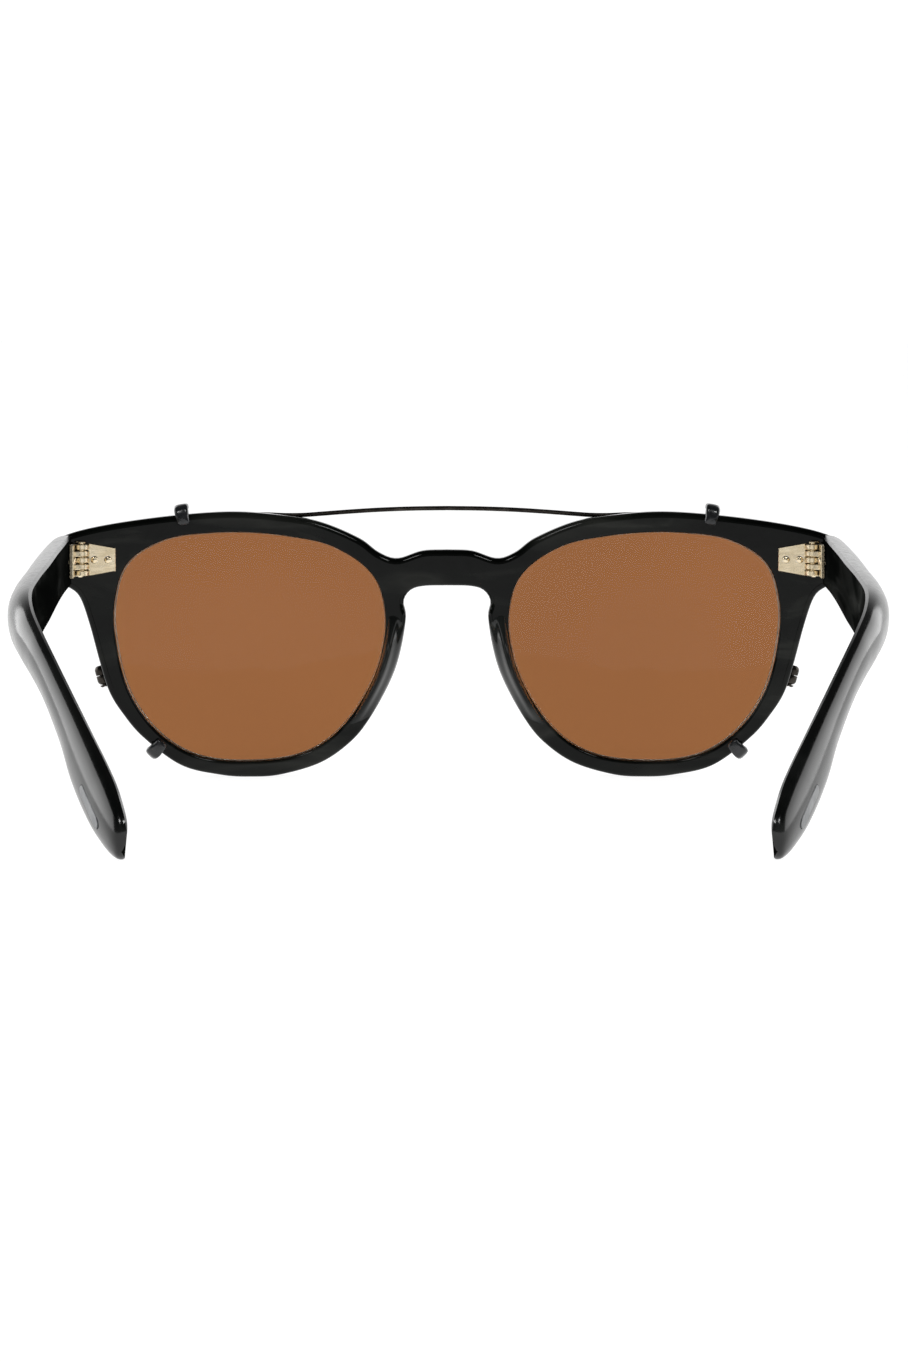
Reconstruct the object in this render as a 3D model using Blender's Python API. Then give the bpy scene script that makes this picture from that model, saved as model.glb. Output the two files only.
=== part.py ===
"""A pair of acetate spectacles with a clip-on set of sun lenses, one object for each physical piece.

The design frame is in millimetres: X across the face with +X on the wearer's left, +Y backwards along
the temples, +Z up, the table at Z = 0 and the rear face of the bridge at Y = 0. Every piece is made in
that frame and scaled to metres, and at the end the whole assembly is centred over the origin.
"""

import math

import bmesh
import bpy
import numpy as np
from mathutils.geometry import delaunay_2d_cdt

MM = 0.001

# Acetate front
FRONT_THICKNESS = 4.0
FLAT_HALF_WIDTH = 9.0  # the bridge is flat between -9 and 9
CURVE_END = 50.0  # from here outwards the face curve runs straight
CURVE_SLOPE = 0.1  # the slope that it has reached there
OUTER_ROUNDING = 0.9
APERTURE_ROUNDING = 0.4
GROOVE_DEPTH = 0.6
GROOVE_HALF_WIDTH = 0.7
LENS_CENTRE = (34.0, 22.2)
LENS_SHAPE = [  # (angle from the nose in degrees, radius) of the lens aperture
    (0, 22.8), (15, 24.1), (30, 24.7), (50, 22.8), (70, 20.6), (90, 20.1), (110, 21.3), (130, 24.2),
    (145, 25.75), (160, 24.7), (180, 22.8), (205, 21.85), (235, 21.0), (270, 19.5), (305, 20.6), (335, 21.2),
]
FRONT_OUTLINE = [  # (X, Z) of the left half, from the top of the bridge round to the keyhole
    (0, 39.3), (4.3, 39.1), (8.6, 37.8), (11.8, 38.85), (15.2, 41.3), (21.9, 44.1), (28.8, 45.3),
    (37.4, 45.9), (47.8, 45.2), (58.1, 43.8), (65, 42.2), (68.4, 40.2), (68.9, 36.5), (67.6, 34.0),
    (65, 32.9), (63.2, 31.2), (61.6, 26.6), (59.8, 19.8), (58.3, 15), (56.1, 11.3), (52.5, 7.0),
    (46, 2.1), (39.1, 0.35), (34, 0), (28.8, 0.35), (21.9, 2.4), (16.7, 6), (13.3, 10.2), (9.8, 16.6),
    (8.1, 21.6), (7.1, 27.6), (7.5, 30.4), (6.3, 32.3), (4.0, 33.0), (0, 33.1),
]

# Lenses
LENS_DOME = 1.6
CLEAR_LENS = {"edge_gap": 0.25, "thickness": 1.5, "bevel": 0.45}
SUN_LENS = {"edge_gap": 0.2, "thickness": 1.0, "bevel": 0.35}

# Nose pads
PAD_BOTTOM, PAD_TOP = 8.5, 28.5
PAD_WIDTH = 2.9
PAD_HEIGHT = 4.2
PAD_PROFILE = [  # (part of the width from the nose outwards, part of the height)
    (0, 0), (0, 0.15), (0.36, 0.6), (0.58, 0.9), (0.78, 1), (0.94, 0.86), (1, 0.5), (1, 0),
]
PAD_SETBACK = 0.35  # from the edge of the nose opening to the foot of the pad
BOND_GAP = 0.3  # between a pad and the face that it is bonded to

# Hinges
PIN = (62.9, 5.3)  # X and Y of the hinge axis
HINGE_Z = 37.8
HINGE_HEIGHT = 5.65
KNUCKLES = 5
KNUCKLE_RADIUS = 1.5
KNUCKLE_GAP = 0.2
PIN_RADIUS = 0.55
BORE_RADIUS = 0.68
LEAF_THICKNESS = 0.7
LEAF_GAP = 0.15  # between a leaf and the acetate under it
TAIL_RISE = 0.2  # how far a barrel's tail stands above its leaf
TAIL_SINK = 0.1  # how far above the underside of its leaf the tail ends
FRONT_LEAF_START, FRONT_LEAF_END = 61.7, 57.0  # X
FRONT_LEAF_END_HEIGHT = 4.0
FRONT_TAIL_X = 61.4
FRONT_RIVETS_X = (60.65, 58.3)
TEMPLE_LEAF_START, TEMPLE_LEAF_END = 6.9, 12.0  # Y
TEMPLE_TAIL_Y = 7.4
TEMPLE_RIVETS_Y = (8.4, 10.7)
TEMPLE_RIVET_REACH = 4.15  # how far into the temple its rivets go
RIVET_RADIUS = 0.52
RIVET_HEAD_RADIUS = 0.62
RIVET_HOLE_RADIUS = 0.66
RIVET_HEAD_HEIGHT = 0.35
SCREW_HEAD_RADIUS = 0.95
SCREW_HEAD_HEIGHT = 0.25

# Temples
TEMPLE_INNER_X = 64.6
TEMPLE_STATIONS = [  # upper edge (Y, Z), lower edge (Y, Z), inner X at the upper and lower edge, thickness
    ((4.05, 42.0), (4.05, 33.2), 64.6, 64.6, 4.5),
    ((12, 41.8), (12, 33.0), 64.6, 64.6, 4.6),
    ((24, 41.4), (24, 32.7), 64.6, 64.6, 4.7),
    ((40, 40.9), (40, 31.9), 64.6, 64.6, 4.7),
    ((60, 40.1), (60, 30.5), 64.6, 64.6, 4.7),
    ((79, 39.0), (78.5, 28.8), 65.0, 64.9, 4.6),
    ((94, 37.6), (92, 27.6), 65.2, 64.2, 4.3),
    ((104, 35.4), (101, 25.8), 64.3, 62.4, 3.9),
    ((111.5, 32.4), (107, 22.7), 62.4, 60.2, 3.5),
    ((117, 28.9), (112, 19.0), 60.2, 58.0, 3.4),
    ((124.5, 23.1), (119, 13.4), 56.6, 55.7, 3.4),
    ((130.5, 18.3), (124.5, 8.9), 53.6, 54.5, 3.4),
    ((137, 12.8), (130.5, 4.4), 50.3, 52.0, 3.6),
    ((141.5, 8.3), (135, 1.7), 48.3, 49.6, 3.4),
    ((143.3, 5.95), (138.5, 0.25), 47.3, 48.2, 3.1),
    ((143.3, 3.7), (141.0, 0.3), 47.0, 47.4, 2.3),
]
SECTION_POWER = 2.3  # how square the convex outer side of a temple is
SECTION_STEPS = 8
EDGE_ROUNDING = 0.45
CORE_START, CORE_END = 5.0, 116.0  # Y of the two ends of the stiffening core
CHANNEL_START, CHANNEL_END = 3.0, 117.0
CORE_DEPTH = 0.47  # part of the temple's thickness, from its inner side
CORE_RADIUS = 0.65
CORE_CHANNEL_RADIUS = 0.9
CORE_DROP = 2.6  # how far below the middle of the temple the core starts, clear of the rivets
CORE_LEVEL_FROM = 40.0  # Y from which it runs along the middle
INLAY_STATION = 12.2
INLAY_LENGTH, INLAY_WIDTH = 8.5, 2.0
INLAY_DEPTH = 0.5
INLAY_PROUD = 0.05
INLAY_GAP = 0.1

# Clip-on
CLIP_PLANE = -5.4  # Y of the middle of the clip-on's rims at the bridge
CLIP_RIM_INNER, CLIP_RIM_OUTER = 1.5, 2.5  # how far outside the lens aperture the rim runs
CLIP_RIM_HALF_DEPTH = 0.8
CLIP_GROOVE = 0.4
CLIP_GROOVE_HALF_WIDTH = 0.45
RIM_SPLIT = 0.5  # gap in the rim between the two halves of its closing barrel
BARREL_ANGLE = 189.5
BARREL_OFFSET = 3.85
BARREL_RADIUS = 1.05
BARREL_LENGTH = 1.6
BARREL_GAP = 0.06  # from the middle of the barrel to each half
BARREL_BORE = 0.55
SCREW_RADIUS = 0.42
SCREW_FOOT_RADIUS, SCREW_FOOT_HEIGHT = 0.8, 0.35
BAR_RADIUS = 0.38
BAR_PATH = [  # (X, Z) of the left half
    (0, 46.28), (6, 46.2), (12, 45.98), (18, 45.6), (22, 45.3), (25, 45.1), (28, 45.08), (31, 45.2),
    (35, 45.3),
]
HOOK_EDGE_POINTS = {"top": (45.6, 45.42), "bottom": (50.1, 5.05)}  # where a hook passes over the front's edge
HOOK_ANGLES = {"top": 11.0, "bottom": 135.0}  # the hook's outward direction, in degrees from straight up
HOOK_RIM_DISTANCES = {"top": -0.9, "bottom": 0.3}  # from the front's edge out to the hook's foot on the rim
HOOK_RISE = 1.15
HOOK_REACH = 1.75
HOOK_HALF_WIDTH, HOOK_HALF_THICKNESS = 0.55, 0.25
HOOK_CLEARANCE = 1.0  # from the rear face of the front to the middle of a hook's tip
SLEEVE_HALF_WIDTH, SLEEVE_HALF_THICKNESS = 1.15, 0.62
SLEEVE_GAP = 0.1

BODIES = {
    "front": (0, 0, 0),
    "temple_left": (PIN[0], PIN[1], HINGE_Z),
    "temple_right": (-PIN[0], PIN[1], HINGE_Z),
    "clip_on": (0, CLIP_PLANE, LENS_CENTRE[1]),
}

SIDES = {"left": 1, "right": -1}

FINISHES = {  # base colour, metallic, roughness, transmission
    "smoky_acetate": ((0.022, 0.026, 0.021), 0.0, 0.12, 0.0),
    "pad_acetate": ((0.16, 0.165, 0.15), 0.0, 0.15, 0.0),
    "clear_lens": ((0.95, 0.95, 0.93), 0.0, 0.02, 1.0),
    "brown_sun_lens": ((0.33, 0.13, 0.055), 0.0, 0.03, 0.8),
    "gold_hinge": ((0.72, 0.58, 0.36), 1.0, 0.28, 0.0),
    "steel_core": ((0.55, 0.55, 0.53), 1.0, 0.35, 0.0),
    "silver_inlay": ((0.75, 0.76, 0.77), 1.0, 0.25, 0.0),
    "gunmetal": ((0.035, 0.034, 0.033), 1.0, 0.3, 0.0),
    "black_sleeve": ((0.012, 0.014, 0.014), 0.0, 0.35, 0.0),
}


def clear_scene():
    for obj in list(bpy.data.objects):
        bpy.data.objects.remove(obj)


def make_finishes():
    made = {}
    for name, (colour, metallic, roughness, transmission) in FINISHES.items():
        material = bpy.data.materials.new(name)
        material.use_nodes = True
        shader = material.node_tree.nodes["Principled BSDF"]
        shader.inputs["Base Color"].default_value = (*colour, 1)
        shader.inputs["Metallic"].default_value = metallic
        shader.inputs["Roughness"].default_value = roughness
        shader.inputs["Transmission Weight"].default_value = transmission
        made[name] = material
    return made


def make_pivots():
    """One empty for each body, on the axis about which or along which the body moves."""
    pivots = {}
    for name, place in BODIES.items():
        pivot = bpy.data.objects.new(f"{name}_pivot", None)
        pivot.location = [c * MM for c in place]
        pivot.empty_display_size = 0.01
        bpy.context.scene.collection.objects.link(pivot)
        pivots[name] = pivot
    return pivots


def make_piece(name, shape, body, finish):
    """One named object of a (points, faces) shape in the design frame, riding on its body's pivot."""
    points, faces = shape
    mesh = bpy.data.meshes.new(name)
    local = (np.asarray(points, float) - BODIES[body]) * MM
    mesh.from_pydata(local.tolist(), [], [list(map(int, face)) for face in faces])
    fill = bmesh.new()
    fill.from_mesh(mesh)
    bmesh.ops.recalc_face_normals(fill, faces=fill.faces)
    fill.to_mesh(mesh)
    fill.free()
    mesh.shade_smooth()
    mesh.set_sharp_from_angle(angle=math.radians(35))
    if finish:
        mesh.materials.append(MATERIALS[finish])
    obj = bpy.data.objects.new(name, mesh)
    bpy.context.scene.collection.objects.link(obj)
    obj.parent = PIVOTS[body]
    return obj


def combine(obj, shape, body, operation):
    """Cuts a helper shape out of an object, or joins it to the object."""
    helper = make_piece(f"{obj.name}_helper_{len(obj.modifiers)}", shape, body, None)
    helper.hide_render = True
    helper.display_type = "WIRE"
    modifier = obj.modifiers.new(operation.title(), "BOOLEAN")
    modifier.operation = operation
    modifier.object = helper
    modifier.solver = "EXACT"


def mirrored(shape, side):
    """The shape of the wearer's left side, or its mirror image for the right side."""
    points, faces = shape
    return np.asarray(points, float) * (side, 1, 1), faces


def sag(x):
    """How far back the front lies at a distance x from the middle, from its curve round the face."""
    beyond = np.maximum(np.abs(x) - FLAT_HALF_WIDTH, 0)
    bend = CURVE_END - FLAT_HALF_WIDTH
    inside = CURVE_SLOPE / 2 * np.minimum(beyond, bend) ** 2 / bend
    return inside + CURVE_SLOPE * np.maximum(beyond - bend, 0)


def curved(shape):
    """A shape made on the flat, laid onto the front's curve round the face."""
    points, faces = shape
    points = np.array(points, float)
    points[:, 1] += sag(points[:, 0])
    return points, faces


def between(a, b, c, d, t):
    """The point a part t of the way from b to c, on a smooth curve that also passes a and d."""
    return 0.5 * (2 * b + (c - a) * t + (2 * a - 5 * b + 4 * c - d) * t**2 + (3 * b - a - 3 * c + d) * t**3)


def spline(points, steps):
    """A smooth open curve through the points, with that many steps of equal length."""
    p = np.asarray(points, float)
    p = np.vstack([2 * p[0] - p[1], p, 2 * p[-1] - p[-2]])
    t = np.linspace(0, 1, 24, endpoint=False)[:, None]
    dense = [between(*four, t) for four in zip(p, p[1:], p[2:], p[3:])]
    dense = np.vstack([*dense, p[-2:-1]])
    length = np.r_[0, np.cumsum(np.linalg.norm(np.diff(dense, axis=0), axis=1))]
    at = np.linspace(0, length[-1], steps + 1)
    return np.column_stack([np.interp(at, length, dense[:, k]) for k in range(dense.shape[1])])


def lens_radius(angle):
    """The aperture's radius at an angle in degrees, on a smooth closed curve through LENS_SHAPE."""
    angles, radii = np.array(LENS_SHAPE, float).T
    angles = np.r_[angles[-3:] - 360, angles, angles[:3] + 360]
    radii = np.r_[radii[-3:], radii, radii[:3]]
    angle = np.asarray(angle, float) % 360
    k = np.searchsorted(angles, angle, side="right") - 1
    slopes = (radii[2:] - radii[:-2]) / (angles[2:] - angles[:-2])
    step = angles[k + 1] - angles[k]
    t = (angle - angles[k]) / step
    return (
        (2 * t**3 - 3 * t**2 + 1) * radii[k]
        + (t**3 - 2 * t**2 + t) * step * slopes[k - 1]
        + (3 * t**2 - 2 * t**3) * radii[k + 1]
        + (t**3 - t**2) * step * slopes[k]
    )


def lens_points(angles):
    """Points (X, Z) of the left lens aperture at angles in degrees."""
    radius, turn = lens_radius(angles), np.radians(angles)
    return np.column_stack([LENS_CENTRE[0] - radius * np.cos(turn), LENS_CENTRE[1] + radius * np.sin(turn)])


def lens_outline(count):
    """Points (X, Z) of the left lens aperture, with equal steps of angle."""
    return lens_points(np.arange(count) * 360 / count)


def circle(sides):
    """Points of a circle of radius 1."""
    turn = np.arange(sides) * 2 * math.pi / sides
    return np.column_stack([np.cos(turn), np.sin(turn)])


def front_outline(steps):
    """Points (X, Z) of the whole front's outline, from the top of the bridge through the left half."""
    half = spline(FRONT_OUTLINE, steps)
    half[0, 0] = half[-1, 0] = 0
    return np.vstack([half, half[-2:0:-1] * (-1, 1)])


def outward(contour):
    """The unit normals of a closed contour, pointing away from what it encloses."""
    run = np.roll(contour, -1, axis=0) - np.roll(contour, 1, axis=0)
    normal = np.column_stack([run[:, 1], -run[:, 0]]) / np.linalg.norm(run, axis=1)[:, None]
    area = np.sum(contour[:, 0] * np.roll(contour[:, 1], -1) - np.roll(contour[:, 0], -1) * contour[:, 1])
    return normal * np.sign(area)


def inside(contours, points):
    """Which points lie within an odd number of the closed contours."""
    within = np.zeros(len(points), bool)
    for contour in contours:
        a, b = contour, np.roll(contour, -1, axis=0)
        for (ax, az), (bx, bz) in zip(a, b):
            crosses = (az > points[:, 1]) != (bz > points[:, 1])
            reach = ax + (points[:, 1] - az) / (bz - az if bz != az else 1) * (bx - ax)
            within ^= crosses & (points[:, 0] < reach)
    return within


def plate(contours, lattice):
    """A flat plate with holes. Each contour is (points, levels), and a level is (offset away from what the
    contour encloses, Y), from the rear face through the wall to the front face."""
    rims = [points + levels[0][0] * outward(points) for points, levels in contours]
    fill = np.array([q for q in lattice if min(np.linalg.norm(r - q, axis=1).min() for r in rims) > 1.2])
    fill = fill[inside(rims, fill)] if len(fill) else np.zeros((0, 2))
    flat = np.vstack([*rims, fill])
    edges, first = [], 0
    for rim in rims:
        edges += [(first + k, first + (k + 1) % len(rim)) for k in range(len(rim))]
        first += len(rim)
    _, _, triangles, origins, _, _ = delaunay_2d_cdt(flat.tolist(), edges, [], 0, 1e-6)
    triangles = np.array([[origins[v][0] for v in triangle] for triangle in triangles])
    triangles = triangles[inside(rims, flat[triangles].mean(axis=1))]

    rear_y, front_y = contours[0][1][0][1], contours[0][1][-1][1]
    points = [np.column_stack([flat[:, 0], np.full(len(flat), y), flat[:, 1]]) for y in (rear_y, front_y)]
    faces = [*triangles, *(triangles[:, ::-1] + len(flat))]
    first, total = 0, 2 * len(flat)
    for contour, levels in contours:
        n, normal = len(contour), outward(contour)
        rings = [first + np.arange(n)]
        for offset, y in levels[1:-1]:
            ring = contour + offset * normal
            points.append(np.column_stack([ring[:, 0], np.full(n, y), ring[:, 1]]))
            rings.append(total + np.arange(n))
            total += n
        rings.append(len(flat) + first + np.arange(n))
        faces += bands(rings)
        first += n
    return np.vstack(points), faces


def bands(rings):
    """Quads between successive closed rings of point numbers."""
    faces = []
    for low, high in zip(rings, rings[1:]):
        faces += list(np.column_stack([low, np.roll(low, -1), np.roll(high, -1), high]))
    return faces


def loft(sections):
    """A tube through sections of equal size, capped at both ends."""
    sections = np.asarray(sections, float)
    count, n = sections.shape[:2]
    rings = [k * n + np.arange(n) for k in range(count)]
    return sections.reshape(-1, 3), [*bands(rings), rings[0][::-1], rings[-1]]


def rod(start, end, radius, sides=12, profile=None):
    """A turned pin between two points. The profile is (part of the length, radius) from start to end."""
    start, end = np.array(start, float), np.array(end, float)
    along = (end - start) / np.linalg.norm(end - start)
    across = np.cross(along, (0, 0, 1) if abs(along[2]) < 0.9 else (1, 0, 0))
    across /= np.linalg.norm(across)
    ring = circle(sides) @ np.array([across, np.cross(along, across)])
    profile = profile or [(0, radius), (1, radius)]
    return loft([start + part * (end - start) + r * ring for part, r in profile])


def block(low, high):
    """A box between two corners."""
    low, high = np.array(low, float), np.array(high, float)
    xs, ys = (low[0], high[0], high[0], low[0]), (low[1], low[1], high[1], high[1])
    return loft([np.column_stack([xs, ys, np.full(4, z)]) for z in (low[2], high[2])])


def acetate_front():
    rear, front = 0.0, -FRONT_THICKNESS
    r, a, middle = OUTER_ROUNDING, APERTURE_ROUNDING, -FRONT_THICKNESS / 2
    shoulder = r * (1 - math.sqrt(0.5))
    wall = [
        (-r, rear), (-shoulder, rear - shoulder), (0, rear - r),
        (0, front + r), (-shoulder, front + shoulder), (-r, front),
    ]
    groove = [
        (a, rear), (0, rear - a), (0, middle + GROOVE_HALF_WIDTH), (GROOVE_DEPTH, middle),
        (0, middle - GROOVE_HALF_WIDTH), (0, front + a), (a, front),
    ]
    contours = [(front_outline(66), wall)]
    for side in SIDES.values():
        contours.append((lens_outline(48) * (side, 1), groove))
        for x in FRONT_RIVETS_X:
            contours.append((RIVET_HOLE_RADIUS * circle(8) + (side * x, HINGE_Z), [(0, rear), (0, front)]))
    lattice = [(x, z) for x in np.arange(-66, 67, 3.0) for z in np.arange(1, 46, 3.0)]
    make_piece("acetate_front", curved(plate(contours, lattice)), "front", "smoky_acetate")


def lens(groove_bottom, mid_y, edge_gap, thickness, bevel):
    """A meniscus lens whose bevelled edge stands in a groove, the bottom of which lies that far outside the
    aperture of the front."""
    contour = lens_outline(40)
    normal, centre = outward(contour), np.array(LENS_CENTRE)
    edge = groove_bottom - edge_gap
    sections = []
    for y_side in (1, -1):
        surface = []
        for part in (0.3, 0.68, 1.0):
            ring = centre + part * (contour + (edge - bevel) * normal - centre)
            y = mid_y + y_side * thickness / 2 - LENS_DOME * (1 - part**2)
            surface.append(np.column_stack([ring[:, 0], np.full(len(ring), y), ring[:, 1]]))
        sections.append(surface)
    tip = contour + edge * normal
    tip = np.column_stack([tip[:, 0], np.full(len(tip), mid_y), tip[:, 1]])
    rings = [*sections[0], tip, *sections[1][::-1]]
    n = len(contour)
    points = np.vstack(rings)
    numbers = [k * n + np.arange(n) for k in range(len(rings))]
    faces = bands(numbers)
    for ring, y_side in ((numbers[0], 1), (numbers[-1], -1)):
        middle = len(points)
        points = np.vstack([points, (centre[0], mid_y + y_side * thickness / 2 - LENS_DOME, centre[1])])
        faces += [(a, b, middle) for a, b in zip(ring, np.roll(ring, -1))]
    return curved((points, faces))


def clear_lenses():
    shape = lens(GROOVE_DEPTH, -FRONT_THICKNESS / 2, **CLEAR_LENS)
    for name, side in SIDES.items():
        make_piece(f"clear_lens_{name}", mirrored(shape, side), "front", "clear_lens")


def nose_pads():
    """Ridges of acetate behind the nasal sides of the rims, splayed to rest on the nose."""
    half = spline(FRONT_OUTLINE, 400)
    nasal = half[(half[:, 1] > 4) & (half[:, 1] < 30) & (half[:, 0] < 20)]
    nasal = nasal[np.argsort(nasal[:, 1])]
    sections = []
    for t in np.linspace(0.04, 0.96, 11):
        z = PAD_BOTTOM + t * (PAD_TOP - PAD_BOTTOM)
        x = np.interp(z, nasal[:, 1], nasal[:, 0]) + PAD_SETBACK
        rise = PAD_HEIGHT * math.sin(math.pi * t) ** 0.8
        section = [(x + PAD_WIDTH * across, BOND_GAP + rise * height, z) for across, height in PAD_PROFILE]
        sections.append(section)
    shape = loft(sections)
    for name, side in SIDES.items():
        make_piece(f"nose_pad_{name}", mirrored(shape, side), "front", "pad_acetate")


def knuckle_spans():
    """The (bottom, top) of each barrel of a hinge."""
    step = HINGE_HEIGHT / KNUCKLES
    starts = HINGE_Z - HINGE_HEIGHT / 2 + step * np.arange(KNUCKLES)
    return [(start + KNUCKLE_GAP / 2, start + step - KNUCKLE_GAP / 2) for start in starts]


def knuckle(tail, start, end, bottom, top):
    """A barrel with a tail that runs into its leaf. The barrel's wall goes from one angle to another, in
    degrees, and the tail's two corners close it."""
    turn = np.radians(np.linspace(start, end, 11))
    wall = [(PIN[0] + KNUCKLE_RADIUS * math.cos(a), PIN[1] + KNUCKLE_RADIUS * math.sin(a)) for a in turn]
    return loft([[(x, y, z) for x, y in [tail[0], *wall, tail[1]]] for z in (bottom, top)])


def hinges():
    px, py = PIN
    low, high = HINGE_Z - HINGE_HEIGHT / 2, HINGE_Z + HINGE_HEIGHT / 2
    taper = (HINGE_HEIGHT - FRONT_LEAF_END_HEIGHT) / 2
    under = float(sag(FRONT_TAIL_X)) + LEAF_GAP
    front_tail = (FRONT_TAIL_X, under + LEAF_THICKNESS + TAIL_RISE), (FRONT_TAIL_X, under + TAIL_SINK)
    inner = TEMPLE_INNER_X - LEAF_GAP
    temple_tail = (inner - TAIL_SINK, TEMPLE_TAIL_Y), (inner - LEAF_THICKNESS - TAIL_RISE, TEMPLE_TAIL_Y)
    bore = rod((px, py, low - 1), (px, py, high + 1), BORE_RADIUS, 12)
    for name, side in SIDES.items():
        outline = [
            (FRONT_LEAF_START, low), (FRONT_LEAF_START, high),
            (FRONT_LEAF_END, high - taper), (FRONT_LEAF_END, low + taper),
        ]
        layers = [[(x, y, z) for x, z in outline] for y in (LEAF_GAP, LEAF_GAP + LEAF_THICKNESS)]
        strap = curved(loft(layers))
        leaf = make_piece(f"hinge_front_leaf_{name}", mirrored(strap, side), "front", "gold_hinge")
        for bottom, top in knuckle_spans()[::2]:
            barrel = knuckle(front_tail, 170, -100, bottom, top)
            combine(leaf, mirrored(barrel, side), "front", "UNION")
        combine(leaf, mirrored(bore, side), "front", "DIFFERENCE")
        for x in FRONT_RIVETS_X:
            hole = rod((x, -1, HINGE_Z), (x, 9, HINGE_Z), RIVET_HOLE_RADIUS, 8)
            combine(leaf, mirrored(hole, side), "front", "DIFFERENCE")

        body = f"temple_{name}"
        strap = block((inner - LEAF_THICKNESS, TEMPLE_LEAF_START, low), (inner, TEMPLE_LEAF_END, high))
        leaf = make_piece(f"hinge_temple_leaf_{name}", mirrored(strap, side), body, "gold_hinge")
        for bottom, top in knuckle_spans()[1::2]:
            barrel = knuckle(temple_tail, 10, -260, bottom, top)
            combine(leaf, mirrored(barrel, side), body, "UNION")
        combine(leaf, mirrored(bore, side), body, "DIFFERENCE")
        for y in TEMPLE_RIVETS_Y:
            hole = rod((px - 1, y, HINGE_Z), (px + 9, y, HINGE_Z), RIVET_HOLE_RADIUS, 8)
            combine(leaf, mirrored(hole, side), body, "DIFFERENCE")

        length = HINGE_HEIGHT + 0.2 + SCREW_HEAD_HEIGHT
        neck = 1 - SCREW_HEAD_HEIGHT / length
        profile = [
            (0, PIN_RADIUS - 0.15), (0.04, PIN_RADIUS), (neck, PIN_RADIUS), (neck, SCREW_HEAD_RADIUS),
            (0.98, SCREW_HEAD_RADIUS), (1, SCREW_HEAD_RADIUS - 0.2),
        ]
        pin = rod((px, py, low - 0.1), (px, py, low - 0.1 + length), PIN_RADIUS, 12, profile)
        make_piece(f"hinge_screw_{name}", mirrored(pin, side), "front", "gold_hinge")


def rivet(start, end):
    """A hinge rivet with a domed head at its start."""
    profile = [(0, 0.3), (0.03, 0.5), (0.07, RIVET_HEAD_RADIUS), (0.075, RIVET_RADIUS), (1, RIVET_RADIUS)]
    return rod(start, end, RIVET_RADIUS, 10, profile)


def rivets():
    for name, side in SIDES.items():
        for number, x in enumerate(FRONT_RIVETS_X, 1):
            back = float(sag(x))
            top = back + LEAF_GAP + LEAF_THICKNESS + RIVET_HEAD_HEIGHT
            pin = rivet((x, top, HINGE_Z), (x, back - FRONT_THICKNESS, HINGE_Z))
            make_piece(f"front_rivet_{name}_{number}", mirrored(pin, side), "front", "gold_hinge")
        for number, y in enumerate(TEMPLE_RIVETS_Y, 1):
            top = TEMPLE_INNER_X - LEAF_GAP - LEAF_THICKNESS - RIVET_HEAD_HEIGHT
            pin = rivet((top, y, HINGE_Z), (TEMPLE_INNER_X + TEMPLE_RIVET_REACH, y, HINGE_Z))
            make_piece(f"temple_rivet_{name}_{number}", mirrored(pin, side), f"temple_{name}", "gold_hinge")


def temple_frame(at):
    """The upper edge, lower edge and thickness of the left temple at a station, or between two."""
    table = np.array([(x_up, *up, x_low, *low, t) for up, low, x_up, x_low, t in TEMPLE_STATIONS])
    k = min(int(at), len(table) - 2)
    t = at - k
    a, b, c, d = (table[min(max(i, 0), len(table) - 1)] for i in (k - 1, k, k + 1, k + 2))
    row = between(a, b, c, d, t)
    return row[:3], row[3:6], row[6]


def temple_section(at):
    """The D-shaped section of the left temple at a station, flat on its inner side."""
    upper, lower, thickness = temple_frame(at)
    ahead, behind = temple_frame(min(at + 0.1, len(TEMPLE_STATIONS) - 1)), temple_frame(max(at - 0.1, 0))
    along = (ahead[0] + ahead[1]) - (behind[0] + behind[1])
    height = upper - lower
    size = np.linalg.norm(height)
    height = height / size
    out = np.cross(along, height)
    out *= np.sign(out[0]) / np.linalg.norm(out)
    middle = (upper + lower) / 2
    rim = min(EDGE_ROUNDING, thickness / 4)
    profile = [(-size / 2 + rim, 0), (size / 2 - rim, 0)]
    for turn in np.linspace(0, math.pi, SECTION_STEPS + 1):
        power = 2 / SECTION_POWER
        h = math.copysign(abs(math.cos(turn)) ** power, math.cos(turn)) * size / 2
        profile.append((h, rim + (thickness - rim) * math.sin(turn) ** power))
    return np.array([middle + h * height + w * out for h, w in profile]), middle, out, height


def core_path():
    """Closely spaced points of the core's route through the left temple, from the hinge to the tip."""
    route = []
    for at in np.linspace(0, len(TEMPLE_STATIONS) - 1, 200):
        _, middle, out, height = temple_section(at)
        fade = max(0.0, 1 - middle[1] / CORE_LEVEL_FROM)
        route.append(middle + CORE_DEPTH * temple_frame(at)[2] * out - CORE_DROP * fade * height)
    return np.array(route)


def core_tube(radius, start, end, sides):
    """A round tube along the core's route between two values of Y."""
    route = core_path()
    at = np.concatenate([[start], np.linspace(20, 80, 4), np.linspace(92, CORE_END - 6, 4), [end]])
    centres = np.column_stack([np.interp(at, route[:, 1], route[:, k]) for k in range(3)])
    centres[:, 1] = at
    sections = []
    for k, centre in enumerate(centres):
        run = centres[min(k + 1, len(centres) - 1)] - centres[max(k - 1, 0)]
        run /= np.linalg.norm(run)
        side = np.cross(run, (0, 0, 1))
        side /= np.linalg.norm(side)
        sections.append(centre + radius * circle(sides) @ np.array([side, np.cross(run, side)]))
    return loft(sections)


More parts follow.
